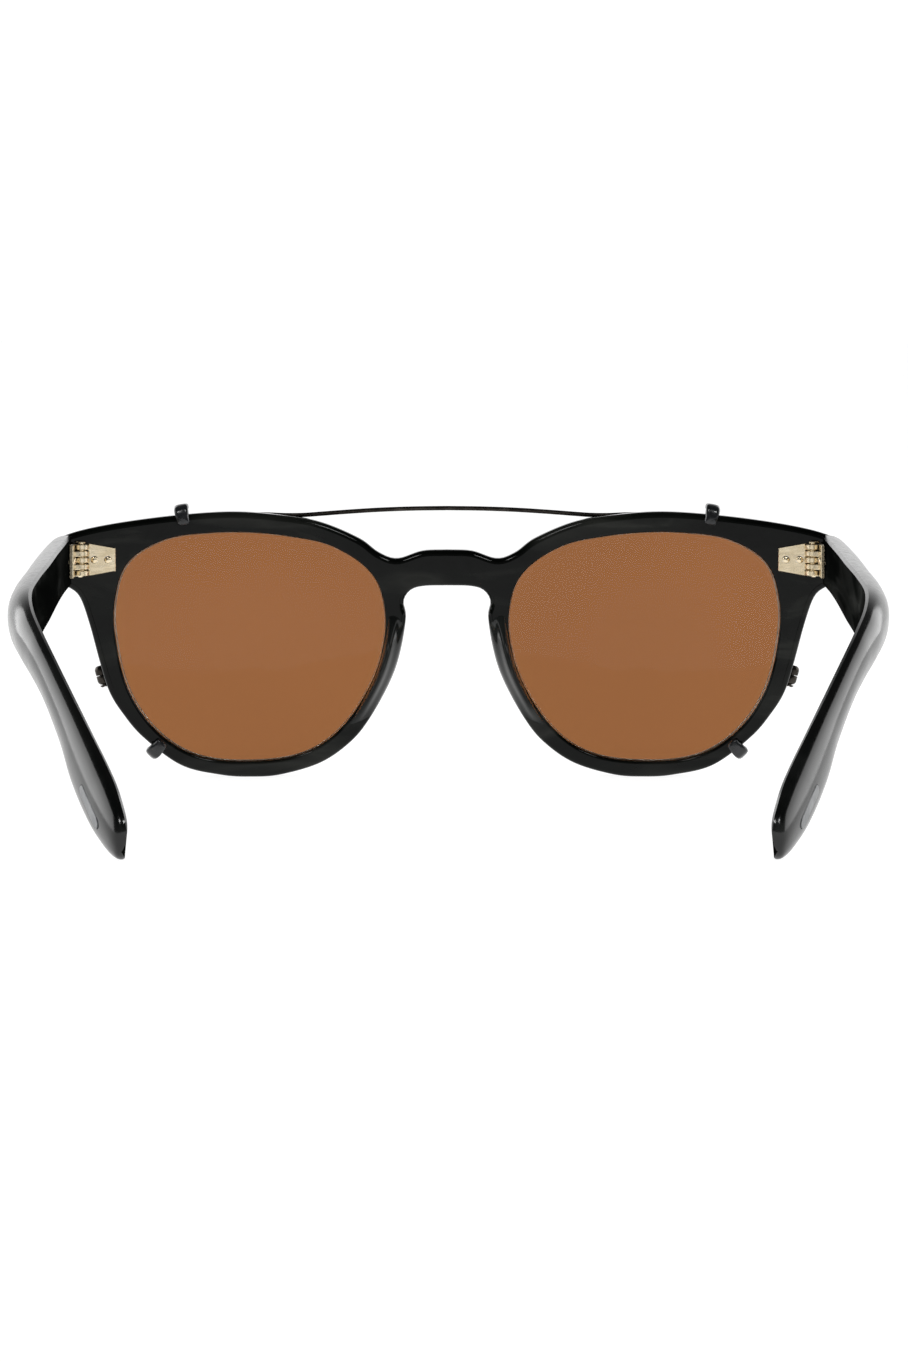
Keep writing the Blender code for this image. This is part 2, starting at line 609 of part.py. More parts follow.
def inlay_shape(grow, depth, proud):
    """A stadium-shaped plate in the outer face of the left paddle."""
    thickness = temple_frame(INLAY_STATION)[2]
    _, middle, out, height = temple_section(INLAY_STATION)
    along = np.cross(out, height)
    half, radius = (INLAY_LENGTH - INLAY_WIDTH) / 2, INLAY_WIDTH / 2 + grow
    outline = []
    for end in (1, -1):
        for turn in np.linspace(-math.pi / 2, math.pi / 2, 9):
            outline.append((end * (half + radius * math.cos(turn)), end * radius * math.sin(turn)))
    layers = []
    for level in (thickness - depth, thickness + proud):
        layers.append([middle + a * along + h * height + level * out for a, h in outline])
    return loft(layers)


def temples():
    count = len(TEMPLE_STATIONS)
    stations = np.concatenate([np.arange(count - 1), np.arange(6, count - 1) + 0.5, [count - 1]])
    shape = loft([temple_section(at)[0] for at in np.sort(stations)])
    for name, side in SIDES.items():
        body = f"temple_{name}"
        temple = make_piece(f"temple_arm_{name}", mirrored(shape, side), body, "smoky_acetate")
        channel = core_tube(CORE_CHANNEL_RADIUS, CHANNEL_START, CHANNEL_END, 8)
        combine(temple, mirrored(channel, side), body, "DIFFERENCE")
        for y in TEMPLE_RIVETS_Y:
            inner, outer = (TEMPLE_INNER_X - 1, y, HINGE_Z), (TEMPLE_INNER_X + 6, y, HINGE_Z)
            combine(temple, mirrored(rod(inner, outer, RIVET_HOLE_RADIUS, 8), side), body, "DIFFERENCE")
        pocket = inlay_shape(INLAY_GAP, INLAY_DEPTH + INLAY_GAP, 1.0)
        combine(temple, mirrored(pocket, side), body, "DIFFERENCE")
        core = core_tube(CORE_RADIUS, CORE_START, CORE_END, 8)
        make_piece(f"temple_core_{name}", mirrored(core, side), body, "steel_core")
        inlay = inlay_shape(0, INLAY_DEPTH, INLAY_PROUD)
        make_piece(f"temple_inlay_{name}", mirrored(inlay, side), body, "silver_inlay")


def clip_rims():
    """Thin metal rims with a lens groove, split where the closing barrel stands."""
    half = math.degrees(RIM_SPLIT / 2 / float(lens_radius(BARREL_ANGLE)))
    route = lens_points(np.linspace(BARREL_ANGLE + half, BARREL_ANGLE + 360 - half, 43))
    run = np.gradient(route, axis=0)
    normal = np.column_stack([-run[:, 1], run[:, 0]]) / np.linalg.norm(run, axis=1)[:, None]
    normal *= np.sign(np.sum(normal * (route - LENS_CENTRE), axis=1))[:, None]
    depth, groove = CLIP_RIM_HALF_DEPTH, CLIP_GROOVE_HALF_WIDTH
    profile = [
        (CLIP_RIM_OUTER, depth), (CLIP_RIM_INNER, depth), (CLIP_RIM_INNER, groove),
        (CLIP_RIM_INNER + CLIP_GROOVE, 0),
        (CLIP_RIM_INNER, -groove), (CLIP_RIM_INNER, -depth), (CLIP_RIM_OUTER, -depth),
    ]
    sections = []
    for place, away in zip(route, normal):
        flat = [(*(place + offset * away), y) for offset, y in profile]
        sections.append([(x, CLIP_PLANE + y, z) for x, z, y in flat])
    shape = curved(loft(sections))
    for name, side in SIDES.items():
        make_piece(f"clip_rim_{name}", mirrored(shape, side), "clip_on", "gunmetal")


def sun_lenses():
    shape = lens(CLIP_RIM_INNER + CLIP_GROOVE, CLIP_PLANE, **SUN_LENS)
    for name, side in SIDES.items():
        make_piece(f"sun_lens_{name}", mirrored(shape, side), "clip_on", "brown_sun_lens")


def brow_bar():
    """The springy wire that joins the two rims and arches over the bridge."""
    path = spline(BAR_PATH, 12)
    path = np.vstack([path[:0:-1] * (-1, 1), path])
    across, deep = BAR_RADIUS * circle(8).T
    sections = []
    for k, (x, z) in enumerate(path):
        run = path[min(k + 1, len(path) - 1)] - path[max(k - 1, 0)]
        rise = np.array([-run[1], run[0]]) / np.linalg.norm(run)
        sections.append(np.column_stack([x + across * rise[0], CLIP_PLANE + deep, z + across * rise[1]]))
    make_piece("brow_bar", curved(loft(sections)), "clip_on", "gunmetal")


def closing_barrels():
    """The two halves of the barrel that closes each rim, and the screw through them."""
    places = lens_points(np.array([BARREL_ANGLE - 2, BARREL_ANGLE, BARREL_ANGLE + 2]))
    along = places[0] - places[2]
    along /= np.linalg.norm(along)
    away = np.array([along[1], -along[0]])
    away *= np.sign(away[0])
    x, z = places[1] + BARREL_OFFSET * away
    y = CLIP_PLANE + float(sag(x))
    centre, axis = np.array([x, y, z]), np.array([along[0], 0, along[1]])
    for name, side in SIDES.items():
        for half, sign in (("upper", 1), ("lower", -1)):
            ends = [centre + sign * axis * distance for distance in (BARREL_GAP, BARREL_GAP + BARREL_LENGTH)]
            shape = mirrored(rod(*ends, BARREL_RADIUS, 12), side)
            barrel = make_piece(f"barrel_{half}_{name}", shape, "clip_on", "gunmetal")
            reach = [centre - 4 * axis, centre + 4 * axis]
            combine(barrel, mirrored(rod(*reach, BARREL_BORE, 8), side), "clip_on", "DIFFERENCE")
        neck = centre - axis * (BARREL_LENGTH + BARREL_GAP + 0.1)
        foot = neck - axis * SCREW_FOOT_HEIGHT
        head = centre + axis * (BARREL_LENGTH - 0.1)
        part = SCREW_FOOT_HEIGHT / np.linalg.norm(head - foot)
        profile = [
            (0, SCREW_FOOT_RADIUS - 0.15), (0.5 * part, SCREW_FOOT_RADIUS), (part, SCREW_FOOT_RADIUS),
            (part, SCREW_RADIUS), (1, SCREW_RADIUS),
        ]
        screw = rod(foot, head, SCREW_RADIUS, 10, profile)
        make_piece(f"barrel_screw_{name}", mirrored(screw, side), "clip_on", "gunmetal")


def hook_route(where):
    """A hook's centre line as (distance out past the front's edge, Y), from the rim to its tip."""
    x, _ = HOOK_EDGE_POINTS[where]
    back = float(sag(x))
    foot, y = HOOK_RIM_DISTANCES[where], back + CLIP_PLANE
    return np.array([
        (foot, y), ((foot + HOOK_RISE) / 2, y), (HOOK_RISE - 0.25, y + 0.35), (HOOK_RISE, y + 1.4),
        (HOOK_RISE, back - 2.0), (HOOK_RISE, back - 0.3), (HOOK_RISE - 0.35, back + 0.75 * HOOK_CLEARANCE),
        (-0.3, back + 1.05 * HOOK_CLEARANCE), (-HOOK_REACH, back + HOOK_CLEARANCE),
    ])


def hook_sections(where, route, half_width, half_thickness):
    """Eight-sided sections along a hook's route, in the plane of its outward direction and Y."""
    angle = math.radians(HOOK_ANGLES[where])
    out = np.array([math.sin(angle), 0, math.cos(angle)])
    across = np.array([out[2], 0, -out[0]])
    x, z = HOOK_EDGE_POINTS[where]
    w, t, c = half_width, half_thickness, 0.5 * half_thickness
    upper = [(w, t - c), (w - c, t), (c - w, t), (-w, t - c)]
    profile = [*upper, *[(-a, -b) for a, b in upper]]
    sections = []
    for k, (distance, y) in enumerate(route):
        run = route[min(k + 1, len(route) - 1)] - route[max(k - 1, 0)]
        run /= np.linalg.norm(run)
        rise = -run[1] * out + run[0] * np.array([0, 1, 0])
        centre = np.array([x, 0, z]) + distance * out + np.array([0, y, 0])
        sections.append([centre + a * across + b * rise for a, b in profile])
    return sections


def hooks():
    """The four prongs that hold the clip-on over the edges of the front, and their soft sleeves."""
    for where in HOOK_EDGE_POINTS:
        route = spline(hook_route(where), 12)
        prong = loft(hook_sections(where, route[:-1], HOOK_HALF_WIDTH, HOOK_HALF_THICKNESS))
        outer = hook_sections(where, route[4:], SLEEVE_HALF_WIDTH, SLEEVE_HALF_THICKNESS)
        tip = np.array(outer[-1])
        middle = tip.mean(axis=0)
        outer.append(middle + 0.8 * (tip - middle) + 0.35 * (tip - outer[-2]).mean(axis=0))
        sleeve = loft(outer)
        gap = SLEEVE_GAP
        socket_route = np.vstack([route[3:-1], route[-2] + 0.2 * (route[-1] - route[-2])])
        socket = loft(hook_sections(where, socket_route, HOOK_HALF_WIDTH + gap, HOOK_HALF_THICKNESS + gap))
        for name, side in SIDES.items():
            make_piece(f"hook_{where}_{name}", mirrored(prong, side), "clip_on", "gunmetal")
            obj = make_piece(f"hook_sleeve_{where}_{name}", mirrored(sleeve, side), "clip_on", "black_sleeve")
            combine(obj, mirrored(socket, side), "clip_on", "DIFFERENCE")


def centre_over_origin():
    """Moves the bodies so that the middle of the whole object's box, from front to back, is at Y = 0."""
    bpy.context.view_layer.update()
    depths = [
        (obj.matrix_world @ corner.co).y
        for obj in bpy.context.scene.objects
        if obj.type == "MESH" and not obj.hide_render
        for corner in obj.data.vertices
    ]
    middle = (min(depths) + max(depths)) / 2
    for pivot in PIVOTS.values():
        pivot.location.y -= middle
    print(f"front's rear face at Y = {-middle / MM:.3f} mm")


clear_scene()
MATERIALS = make_finishes()
PIVOTS = make_pivots()
acetate_front()
clear_lenses()
nose_pads()
hinges()
rivets()
temples()
clip_rims()
sun_lenses()
brow_bar()
closing_barrels()
hooks()
centre_over_origin()
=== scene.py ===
import math

import bmesh
import bpy
import numpy as np
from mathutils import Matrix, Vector
from mathutils.geometry import delaunay_2d_cdt


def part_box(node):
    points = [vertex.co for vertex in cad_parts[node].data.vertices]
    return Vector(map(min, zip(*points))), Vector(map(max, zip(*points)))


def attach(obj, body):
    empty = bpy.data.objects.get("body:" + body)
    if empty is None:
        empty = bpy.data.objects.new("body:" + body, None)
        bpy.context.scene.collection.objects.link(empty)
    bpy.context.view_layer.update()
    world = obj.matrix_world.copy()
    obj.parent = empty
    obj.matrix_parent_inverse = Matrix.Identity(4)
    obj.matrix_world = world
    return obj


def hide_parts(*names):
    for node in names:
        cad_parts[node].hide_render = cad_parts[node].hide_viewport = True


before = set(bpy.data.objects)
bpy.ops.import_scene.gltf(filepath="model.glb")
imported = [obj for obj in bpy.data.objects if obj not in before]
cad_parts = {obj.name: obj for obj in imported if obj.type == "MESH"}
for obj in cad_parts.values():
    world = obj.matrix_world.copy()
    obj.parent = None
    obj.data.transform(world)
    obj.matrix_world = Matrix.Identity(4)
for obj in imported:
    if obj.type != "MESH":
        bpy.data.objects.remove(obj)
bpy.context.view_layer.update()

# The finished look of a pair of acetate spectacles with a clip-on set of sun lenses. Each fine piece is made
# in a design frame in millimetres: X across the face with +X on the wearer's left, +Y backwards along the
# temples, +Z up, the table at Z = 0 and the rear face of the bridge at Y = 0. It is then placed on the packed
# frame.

MM = 0.001
SIDES = {"left": 1, "right": -1}

# Acetate front
FRONT_THICKNESS = 4.0
FLAT_HALF_WIDTH = 9.0  # the bridge is flat between -9 and 9
CURVE_END = 50.0  # from here outwards the face curve runs straight
CURVE_SLOPE = 0.1  # the slope that it has reached there
OUTER_ROUNDING = 0.9
APERTURE_ROUNDING = 0.4
GROOVE_DEPTH = 0.6
GROOVE_HALF_WIDTH = 0.7
LENS_CENTRE = (34.0, 22.2)
LENS_SHAPE = [  # (angle from the nose in degrees, radius) of the lens aperture
    (0, 22.8), (15, 24.1), (30, 24.7), (50, 22.8), (70, 20.6), (90, 20.1), (110, 21.3), (130, 24.2),
    (145, 25.75), (160, 24.7), (180, 22.8), (205, 21.85), (235, 21.0), (270, 19.5), (305, 20.6), (335, 21.2),
]
FRONT_OUTLINE = [  # (X, Z) of the left half, from the top of the bridge round to the keyhole
    (0, 39.3), (4.3, 39.1), (8.6, 37.8), (11.8, 38.85), (15.2, 41.3), (21.9, 44.1), (28.8, 45.3),
    (37.4, 45.9), (47.8, 45.2), (58.1, 43.8), (65, 42.2), (68.4, 40.2), (68.9, 36.5), (67.6, 34.0),
    (65, 32.9), (63.2, 31.2), (61.6, 26.6), (59.8, 19.8), (58.3, 15), (56.1, 11.3), (52.5, 7.0),
    (46, 2.1), (39.1, 0.35), (34, 0), (28.8, 0.35), (21.9, 2.4), (16.7, 6), (13.3, 10.2), (9.8, 16.6),
    (8.1, 21.6), (7.1, 27.6), (7.5, 30.4), (6.3, 32.3), (4.0, 33.0), (0, 33.1),
]
OUTLINE_STEPS = 260  # along half of the outline
APERTURE_STEPS = 240
LATTICE = 2.0  # distance between the points inside a flat face
SUPPORT = 0.2  # width of the flat strip that keeps a face's shading clear of its rounded edge

# Lenses
LENS_DOME = 1.6
CLEAR_LENS = {"edge_gap": 0.25, "thickness": 1.5, "bevel": 0.45}
SUN_LENS = {"edge_gap": 0.2, "thickness": 1.0, "bevel": 0.35}
LENS_STEPS = 200
LENS_RINGS = 14

# Nose pads
PAD_BOTTOM, PAD_TOP = 8.5, 28.5
PAD_WIDTH = 2.9
PAD_PROFILE = [  # (part of the width from the nose outwards, part of the height)
    (0, 0), (0, 0.15), (0.12, 0.34), (0.36, 0.6), (0.58, 0.9), (0.78, 1), (0.94, 0.86), (1, 0.5), (1, 0),
]
PAD_HEIGHT = 5.3  # from its foot, which is sunk in the rim
PAD_SINK = 0.8
PAD_SETBACK = 0.1

# Hinges
PIN = (62.9, 5.3)  # X and Y of the hinge axis
HINGE_Z = 37.8
HINGE_HEIGHT = 5.65
KNUCKLES = 5
KNUCKLE_RADIUS = 1.5
KNUCKLE_GAP = 0.2
KNUCKLE_CHAMFER = 0.12
PIN_RADIUS = 0.55
BORE_RADIUS = 0.68
LEAF_THICKNESS = 0.7
LEAF_GAP = 0.15
LEAF_CHAMFER = 0.13
TAIL_RISE = 0.2  # how far a barrel's tail stands above its leaf
TAIL_SINK = 0.1  # how far above the underside of its leaf the tail ends
FRONT_LEAF_START, FRONT_LEAF_END = 61.7, 57.0  # X
FRONT_LEAF_END_HEIGHT = 4.0
FRONT_TAIL_X = 61.4
FRONT_RIVETS_X = (60.65, 58.3)
TEMPLE_LEAF_START, TEMPLE_LEAF_END = 6.9, 12.0  # Y
TEMPLE_TAIL_Y = 7.4
TEMPLE_RIVETS_Y = (8.4, 10.7)
TEMPLE_RIVET_REACH = 4.15  # how far into the temple its rivets go
RIVET_RADIUS = 0.52
RIVET_HEAD_RADIUS = 0.62
RIVET_HEAD_HEIGHT = 0.35
RIVET_HOLE_RADIUS = 0.66
SCREW_HEAD_RADIUS = 0.95
SCREW_HEAD_HEIGHT = 0.25
SLOT_WIDTH, SLOT_DEPTH = 0.28, 0.2

# Temples
TEMPLE_INNER_X = 64.6
TEMPLE_STATIONS = [  # upper edge (Y, Z), lower edge (Y, Z), inner X at the upper and lower edge, thickness
    ((4.05, 42.0), (4.05, 33.2), 64.6, 64.6, 4.5),
    ((12, 41.8), (12, 33.0), 64.6, 64.6, 4.6),
    ((24, 41.4), (24, 32.7), 64.6, 64.6, 4.7),
    ((40, 40.9), (40, 31.9), 64.6, 64.6, 4.7),
    ((60, 40.1), (60, 30.5), 64.6, 64.6, 4.7),
    ((79, 39.0), (78.5, 28.8), 65.0, 64.9, 4.6),
    ((94, 37.6), (92, 27.6), 65.2, 64.2, 4.3),
    ((104, 35.4), (101, 25.8), 64.3, 62.4, 3.9),
    ((111.5, 32.4), (107, 22.7), 62.4, 60.2, 3.5),
    ((117, 28.9), (112, 19.0), 60.2, 58.0, 3.4),
    ((124.5, 23.1), (119, 13.4), 56.6, 55.7, 3.4),
    ((130.5, 18.3), (124.5, 8.9), 53.6, 54.5, 3.4),
    ((137, 12.8), (130.5, 4.4), 50.3, 52.0, 3.6),
    ((141.5, 8.3), (135, 1.7), 48.3, 49.6, 3.4),
    ((143.3, 5.95), (138.5, 0.25), 47.3, 48.2, 3.1),
    ((143.3, 3.7), (141.0, 0.3), 47.0, 47.4, 2.3),
]
SECTION_POWER = 2.3  # how square the convex outer side of a temple is
EDGE_ROUNDING = 0.45
END_ROUNDING = 0.35
TIP_START = 12  # the station from which the tip closes in a round
TIP_LENGTH = 12.1
TIP_POWER = 2.3  # how square that round is
TIP_EDGE_POWER = 2.6  # and how square it is in its thickness
INNER_STEPS = 11  # faces across the flat inner side of a temple
OUTER_POINTS = 45  # points round its convex outer side
CORE_START, CORE_END = 5.0, 116.0
CHANNEL_START, CHANNEL_END = 3.0, 117.0
CORE_DEPTH = 0.47  # part of the temple's thickness, from its inner side
CORE_LEVEL_FROM = 40.0  # Y from which the core runs along the middle
CORE_RADIUS = 0.65
CORE_CHANNEL_RADIUS = 0.9
CORE_DROP = 2.6
INLAY_STATION = 12.2
INLAY_LENGTH, INLAY_WIDTH = 8.5, 2.0
INLAY_DEPTH = 0.5
INLAY_PROUD = 0.05
INLAY_CHAMFER = 0.08
INLAY_GAP = 0.1

# Clip-on
CLIP_PLANE = -5.4
CLIP_RIM_INNER, CLIP_RIM_OUTER = 1.5, 2.5  # how far outside the lens aperture the rim runs
CLIP_RIM_HALF_DEPTH = 0.8
CLIP_GROOVE = 0.4
CLIP_GROOVE_HALF_WIDTH = 0.45
RIM_SPLIT = 0.5
BARREL_ANGLE = 189.5
BARREL_OFFSET = 3.85
BARREL_RADIUS = 1.05
BARREL_LENGTH = 1.6
BARREL_GAP = 0.06  # from the middle of the barrel to each half
BARREL_ROUNDING = 0.75
SCREW_RADIUS = 0.42
SCREW_FOOT_RADIUS, SCREW_FOOT_HEIGHT = 0.8, 0.35
BAR_RADIUS = 0.38
BAR_PATH = [  # (X, Z) of the left half
    (0, 46.28), (6, 46.2), (12, 45.98), (18, 45.6), (22, 45.3), (25, 45.1), (28, 45.08), (31, 45.2),
    (35, 45.3),
]
HOOK_EDGE_POINTS = {"top": (45.6, 45.42), "bottom": (50.1, 5.05)}
HOOK_ANGLES = {"top": 11.0, "bottom": 135.0}
HOOK_RIM_DISTANCES = {"top": -0.9, "bottom": 0.3}
HOOK_RISE = 1.15
HOOK_REACH = 1.75
HOOK_CLEARANCE = 1.0  # from the rear face of the front to the middle of a hook's tip
HOOK_HALF_WIDTH, HOOK_HALF_THICKNESS = 0.55, 0.25
SLEEVE_HALF_WIDTH, SLEEVE_HALF_THICKNESS = 1.15, 0.62
SLEEVE_START = 0.33  # the part of the prong's length at which its sleeve begins
SLEEVE_TWISTS = 2.0
SLEEVE_RIPPLE = 0.07

# Studio
CAMERA_PLACE = (2.5, 1000.0, 87.8)  # in the design frame
CAMERA_AIM = (-1.2, 0.0, 16.6)
CAMERA_LENS = 153.3  # on a 36 mm sensor
FLOOR_LOW, FLOOR_HIGH = (-6000.0, -6000.0), (6000.0, 2500.0)  # X and Y, in the design frame

front_low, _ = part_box("acetate_front")
ORIGIN = Vector((0, front_low.y + FRONT_THICKNESS * MM, 0))


# ---------------------------------------------------------------- materials


def new_material(name, **values):
    """A Principled material with the given even values, and its node tree."""
    made = bpy.data.materials.new(name)
    made.use_nodes = True
    shader = made.node_tree.nodes["Principled BSDF"]
    for socket, value in values.items():
        shader.inputs[socket.replace("_", " ")].default_value = value
    return made, made.node_tree, shader


def noise(tree, scale, stretch=(1, 1, 1), detail=3.0, distortion=0.0):
    """Noise on the piece's own coordinates, with that many cells to a metre on each axis left unstretched."""
    coordinates = tree.nodes.new("ShaderNodeTexCoord")
    mapping = tree.nodes.new("ShaderNodeMapping")
    texture = tree.nodes.new("ShaderNodeTexNoise")
    mapping.inputs["Scale"].default_value = stretch
    texture.inputs["Scale"].default_value = scale
    texture.inputs["Detail"].default_value = detail
    texture.inputs["Distortion"].default_value = distortion
    tree.links.new(coordinates.outputs["Object"], mapping.inputs["Vector"])
    tree.links.new(mapping.outputs["Vector"], texture.inputs["Vector"])
    return texture.outputs["Fac"]


def ramp(tree, factor, stops):
    """Colours along a factor, from stops of (position, colour)."""
    node = tree.nodes.new("ShaderNodeValToRGB")
    while len(node.color_ramp.elements) < len(stops):
        node.color_ramp.elements.new(0.5)
    for element, (position, colour) in zip(node.color_ramp.elements, stops):
        element.position = position
        element.color = (*colour, 1)
    tree.links.new(factor, node.inputs["Fac"])
    return node.outputs["Color"]


def spread(tree, factor, low, high, start=0.3, end=0.7):
    """A factor between start and end, mapped onto low to high."""
    node = tree.nodes.new("ShaderNodeMapRange")
    node.inputs["From Min"].default_value = start
    node.inputs["From Max"].default_value = end
    node.inputs["To Min"].default_value = low
    node.inputs["To Max"].default_value = high
    tree.links.new(factor, node.inputs["Value"])
    return node.outputs["Result"]


def mix(tree, factor, first, second):
    node = tree.nodes.new("ShaderNodeMix")
    node.data_type = "RGBA"
    tree.links.new(factor, node.inputs["Factor"])
    tree.links.new(first, node.inputs[6])
    tree.links.new(second, node.inputs[7])
    return node.outputs[2]


def bump(tree, shader, height, distance, strength=1.0):
    node = tree.nodes.new("ShaderNodeBump")
    node.inputs["Strength"].default_value = strength
    node.inputs["Distance"].default_value = distance
    tree.links.new(height, node.inputs["Height"])
    tree.links.new(node.outputs["Normal"], shader.inputs["Normal"])


def acetate(name, stretch, dark, smoke, rough=(0.05, 0.11), gloss=0.15):
    """Cellulose acetate, polished unless made rougher: near black, with smoky streaks along its sheet."""
    made, tree, shader = new_material(name, IOR=1.5, Specular_IOR_Level=gloss)
    wide = noise(tree, 60, stretch, 3.0, 1.4)
    fine = noise(tree, 190, stretch, 4.0, 0.8)
    clouds = noise(tree, 28, (1, 1, 1), 2.0)
    deep = tuple(0.45 * c for c in dark)
    streaks = ramp(tree, wide, [(0.40, deep), (0.52, dark), (0.62, smoke), (0.72, dark)])
    threads = ramp(tree, fine, [(0.42, deep), (0.60, dark), (0.70, smoke)])
    colour = mix(tree, spread(tree, clouds, 0.15, 0.85, 0.35, 0.65), streaks, threads)
    tree.links.new(colour, shader.inputs["Base Color"])
    tree.links.new(spread(tree, noise(tree, 900), *rough), shader.inputs["Roughness"])
    bump(tree, shader, noise(tree, 160, (1, 1, 1), 1.0), 0.00003, 0.25)
    return made


def lens_plastic(name, colour):
    """A polished lens with an anti-reflection coating. Its body is tinted evenly but for a faint drift, and
    has a trace of haze."""
    made, tree, shader = new_material(
        name, IOR=1.5, Transmission_Weight=1.0, Specular_Tint=(0.05, 0.05, 0.06, 1))
    paler = tuple(min(1.0, 1.02 * c) for c in colour)
    drift = ramp(tree, noise(tree, 25, (1, 1, 1), 1.0), [(0.35, colour), (0.65, paler)])
    tree.links.new(drift, shader.inputs["Base Color"])
    tree.links.new(spread(tree, noise(tree, 240), 0.0, 0.006, 0.55, 0.8), shader.inputs["Roughness"])
    return made


def ground_edge(name, colour):
    """The ground bevel of a lens, which scatters the light that reaches it."""
    made, tree, shader = new_material(name, IOR=1.5, Transmission_Weight=0.6)
    paler = tuple(min(1.0, 1.25 * c) for c in colour)
    grain = noise(tree, 3000, (1, 1, 1), 2.0)
    tree.links.new(ramp(tree, grain, [(0.3, colour), (0.7, paler)]), shader.inputs["Base Color"])
    tree.links.new(spread(tree, grain, 0.25, 0.4), shader.inputs["Roughness"])
    bump(tree, shader, grain, 0.00001, 0.4)
    return made


def metal(name, colour, worn, rough, stretch=(1, 1, 1), scratch=0.000006):
    """A metal with fine brush lines, rubbed patches and an uneven polish."""
    made, tree, shader = new_material(name, Metallic=1.0)
    brush = noise(tree, 2600, stretch, 2.0)
    patches = noise(tree, 420, (1, 1, 1), 3.0)
    tree.links.new(ramp(tree, patches, [(0.35, colour), (0.70, worn)]), shader.inputs["Base Color"])
    tree.links.new(spread(tree, brush, *rough), shader.inputs["Roughness"])
    bump(tree, shader, brush, scratch, 0.4)
    return made


def soft_sleeve(name):
    """The glossy black tube that is shrunk onto a prong."""
    made, tree, shader = new_material(name, IOR=1.48, Coat_Weight=0.2, Coat_Roughness=0.12)
    grain = noise(tree, 1400, (1, 1, 1), 3.0)
    tree.links.new(ramp(tree, grain, [(0.3, (0.004, 0.005, 0.006)), (0.7, (0.016, 0.018, 0.02))]),
                   shader.inputs["Base Color"])
    tree.links.new(spread(tree, noise(tree, 500), 0.14, 0.3), shader.inputs["Roughness"])
    bump(tree, shader, grain, 0.00002, 0.4)
    return made


MATERIALS = {
    "front_acetate": acetate("front_acetate", (0.28, 1, 1), (0.0036, 0.0046, 0.0038), (0.023, 0.024, 0.021)),
    "temple_acetate": acetate(
        "temple_acetate", (1, 0.2, 1), (0.0028, 0.0036, 0.0032), (0.012, 0.013, 0.012), (0.13, 0.2), 0.5),
    "temple_inside": acetate(
        "temple_inside", (1, 0.2, 1), (0.0045, 0.0050, 0.0045), (0.03, 0.031, 0.029), (0.3, 0.4), 0.0),
    "pad_acetate": acetate(
        "pad_acetate", (1, 1, 0.4), (0.018, 0.020, 0.019), (0.07, 0.07, 0.066), (0.08, 0.16)),
    "clear_lens": lens_plastic("clear_lens", (0.965, 0.97, 0.955)),
    # The clear lens's ground edge scatters light as a real ground edge does, but its warm amber tint is a
    # painted glow for the thin orange lines of light along the lens edges.
    "clear_lens_edge": ground_edge("clear_lens_edge", (0.8, 0.72, 0.6)),
    "brown_sun_lens": lens_plastic("brown_sun_lens", (0.295, 0.120, 0.046)),
    "sun_lens_edge": ground_edge("sun_lens_edge", (0.42, 0.17, 0.06)),
    "gold_hinge": metal(
        "gold_hinge", (0.84, 0.70, 0.47), (0.95, 0.83, 0.61), (0.18, 0.28), (0.15, 0.15, 1), 0.000002),
    "steel_core": metal("steel_core", (0.42, 0.42, 0.41), (0.6, 0.6, 0.58), (0.25, 0.45), (1, 0.1, 1)),
    # The silver inlay is given a dark grey base colour: painted shade standing in for the dark surroundings
    # that its polished silver face reflects.
    "silver_inlay": metal(
        "silver_inlay", (0.17, 0.175, 0.18), (0.25, 0.255, 0.26), (0.3, 0.45), (1, 0.2, 0.2)),
    "gunmetal": metal("gunmetal", (0.024, 0.021, 0.018), (0.062, 0.055, 0.048), (0.22, 0.36)),
    "black_sleeve": soft_sleeve("black_sleeve"),
}


# ---------------------------------------------------------------- shapes


def make_mesh(name, shape):
    """A mesh object of a (points, faces) shape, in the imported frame."""
    points, faces = shape
    mesh = bpy.data.meshes.new(name)
    placed = np.asarray(points, float) * MM + np.array(ORIGIN)
    mesh.from_pydata(placed.tolist(), [], [list(map(int, face)) for face in faces])
    fill = bmesh.new()
    fill.from_mesh(mesh)
    bmesh.ops.recalc_face_normals(fill, faces=fill.faces)
    fill.to_mesh(mesh)
    fill.free()
    obj = bpy.data.objects.new(name, mesh)
    bpy.context.scene.collection.objects.link(obj)
    return obj


def bake(obj):
    """Makes what the modifiers show the object's own mesh."""
    graph = bpy.context.evaluated_depsgraph_get()
    made = bpy.data.meshes.new_from_object(obj.evaluated_get(graph))
    obj.modifiers.clear()
    obj.data = made


def cut(obj, shapes, operation="DIFFERENCE"):
    """Cuts helper shapes out of an object, or joins them to it."""
    for shape in shapes:
        helper = make_mesh(f"{obj.name}_helper", shape)
        modifier = obj.modifiers.new(operation.title(), "BOOLEAN")
        modifier.operation = operation
        modifier.object = helper
        bake(obj)
        bpy.data.objects.remove(helper)


def finish_piece(obj, node, body, material, sharp=40.0):
    """Shades a piece, gives it its material, and puts it in its CAD node's place on its body."""
    obj.data.shade_smooth()
    obj.data.set_sharp_from_angle(angle=math.radians(sharp))
    weighted = obj.modifiers.new("Even shading", "WEIGHTED_NORMAL")
    weighted.keep_sharp = True
    bake(obj)
    if not obj.data.materials:
        obj.data.materials.append(MATERIALS[material])
    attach(obj, body)
    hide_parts(node)
    return obj


def mirrored(shape, side):
    """The shape of the wearer's left side, or its mirror image for the right side."""
    points, faces = shape
    return np.asarray(points, float) * (side, 1, 1), faces


def sag(x):
    """How far back the front lies at a distance x from the middle, from its curve round the face."""
    beyond = np.maximum(np.abs(x) - FLAT_HALF_WIDTH, 0)
    bend = CURVE_END - FLAT_HALF_WIDTH
    inside_bend = CURVE_SLOPE / 2 * np.minimum(beyond, bend) ** 2 / bend
    return inside_bend + CURVE_SLOPE * np.maximum(beyond - bend, 0)


def curved(shape):
    """A shape made on the flat, laid onto the front's curve round the face."""
    points, faces = shape
    points = np.array(points, float)
    points[:, 1] += sag(points[:, 0])
    return points, faces


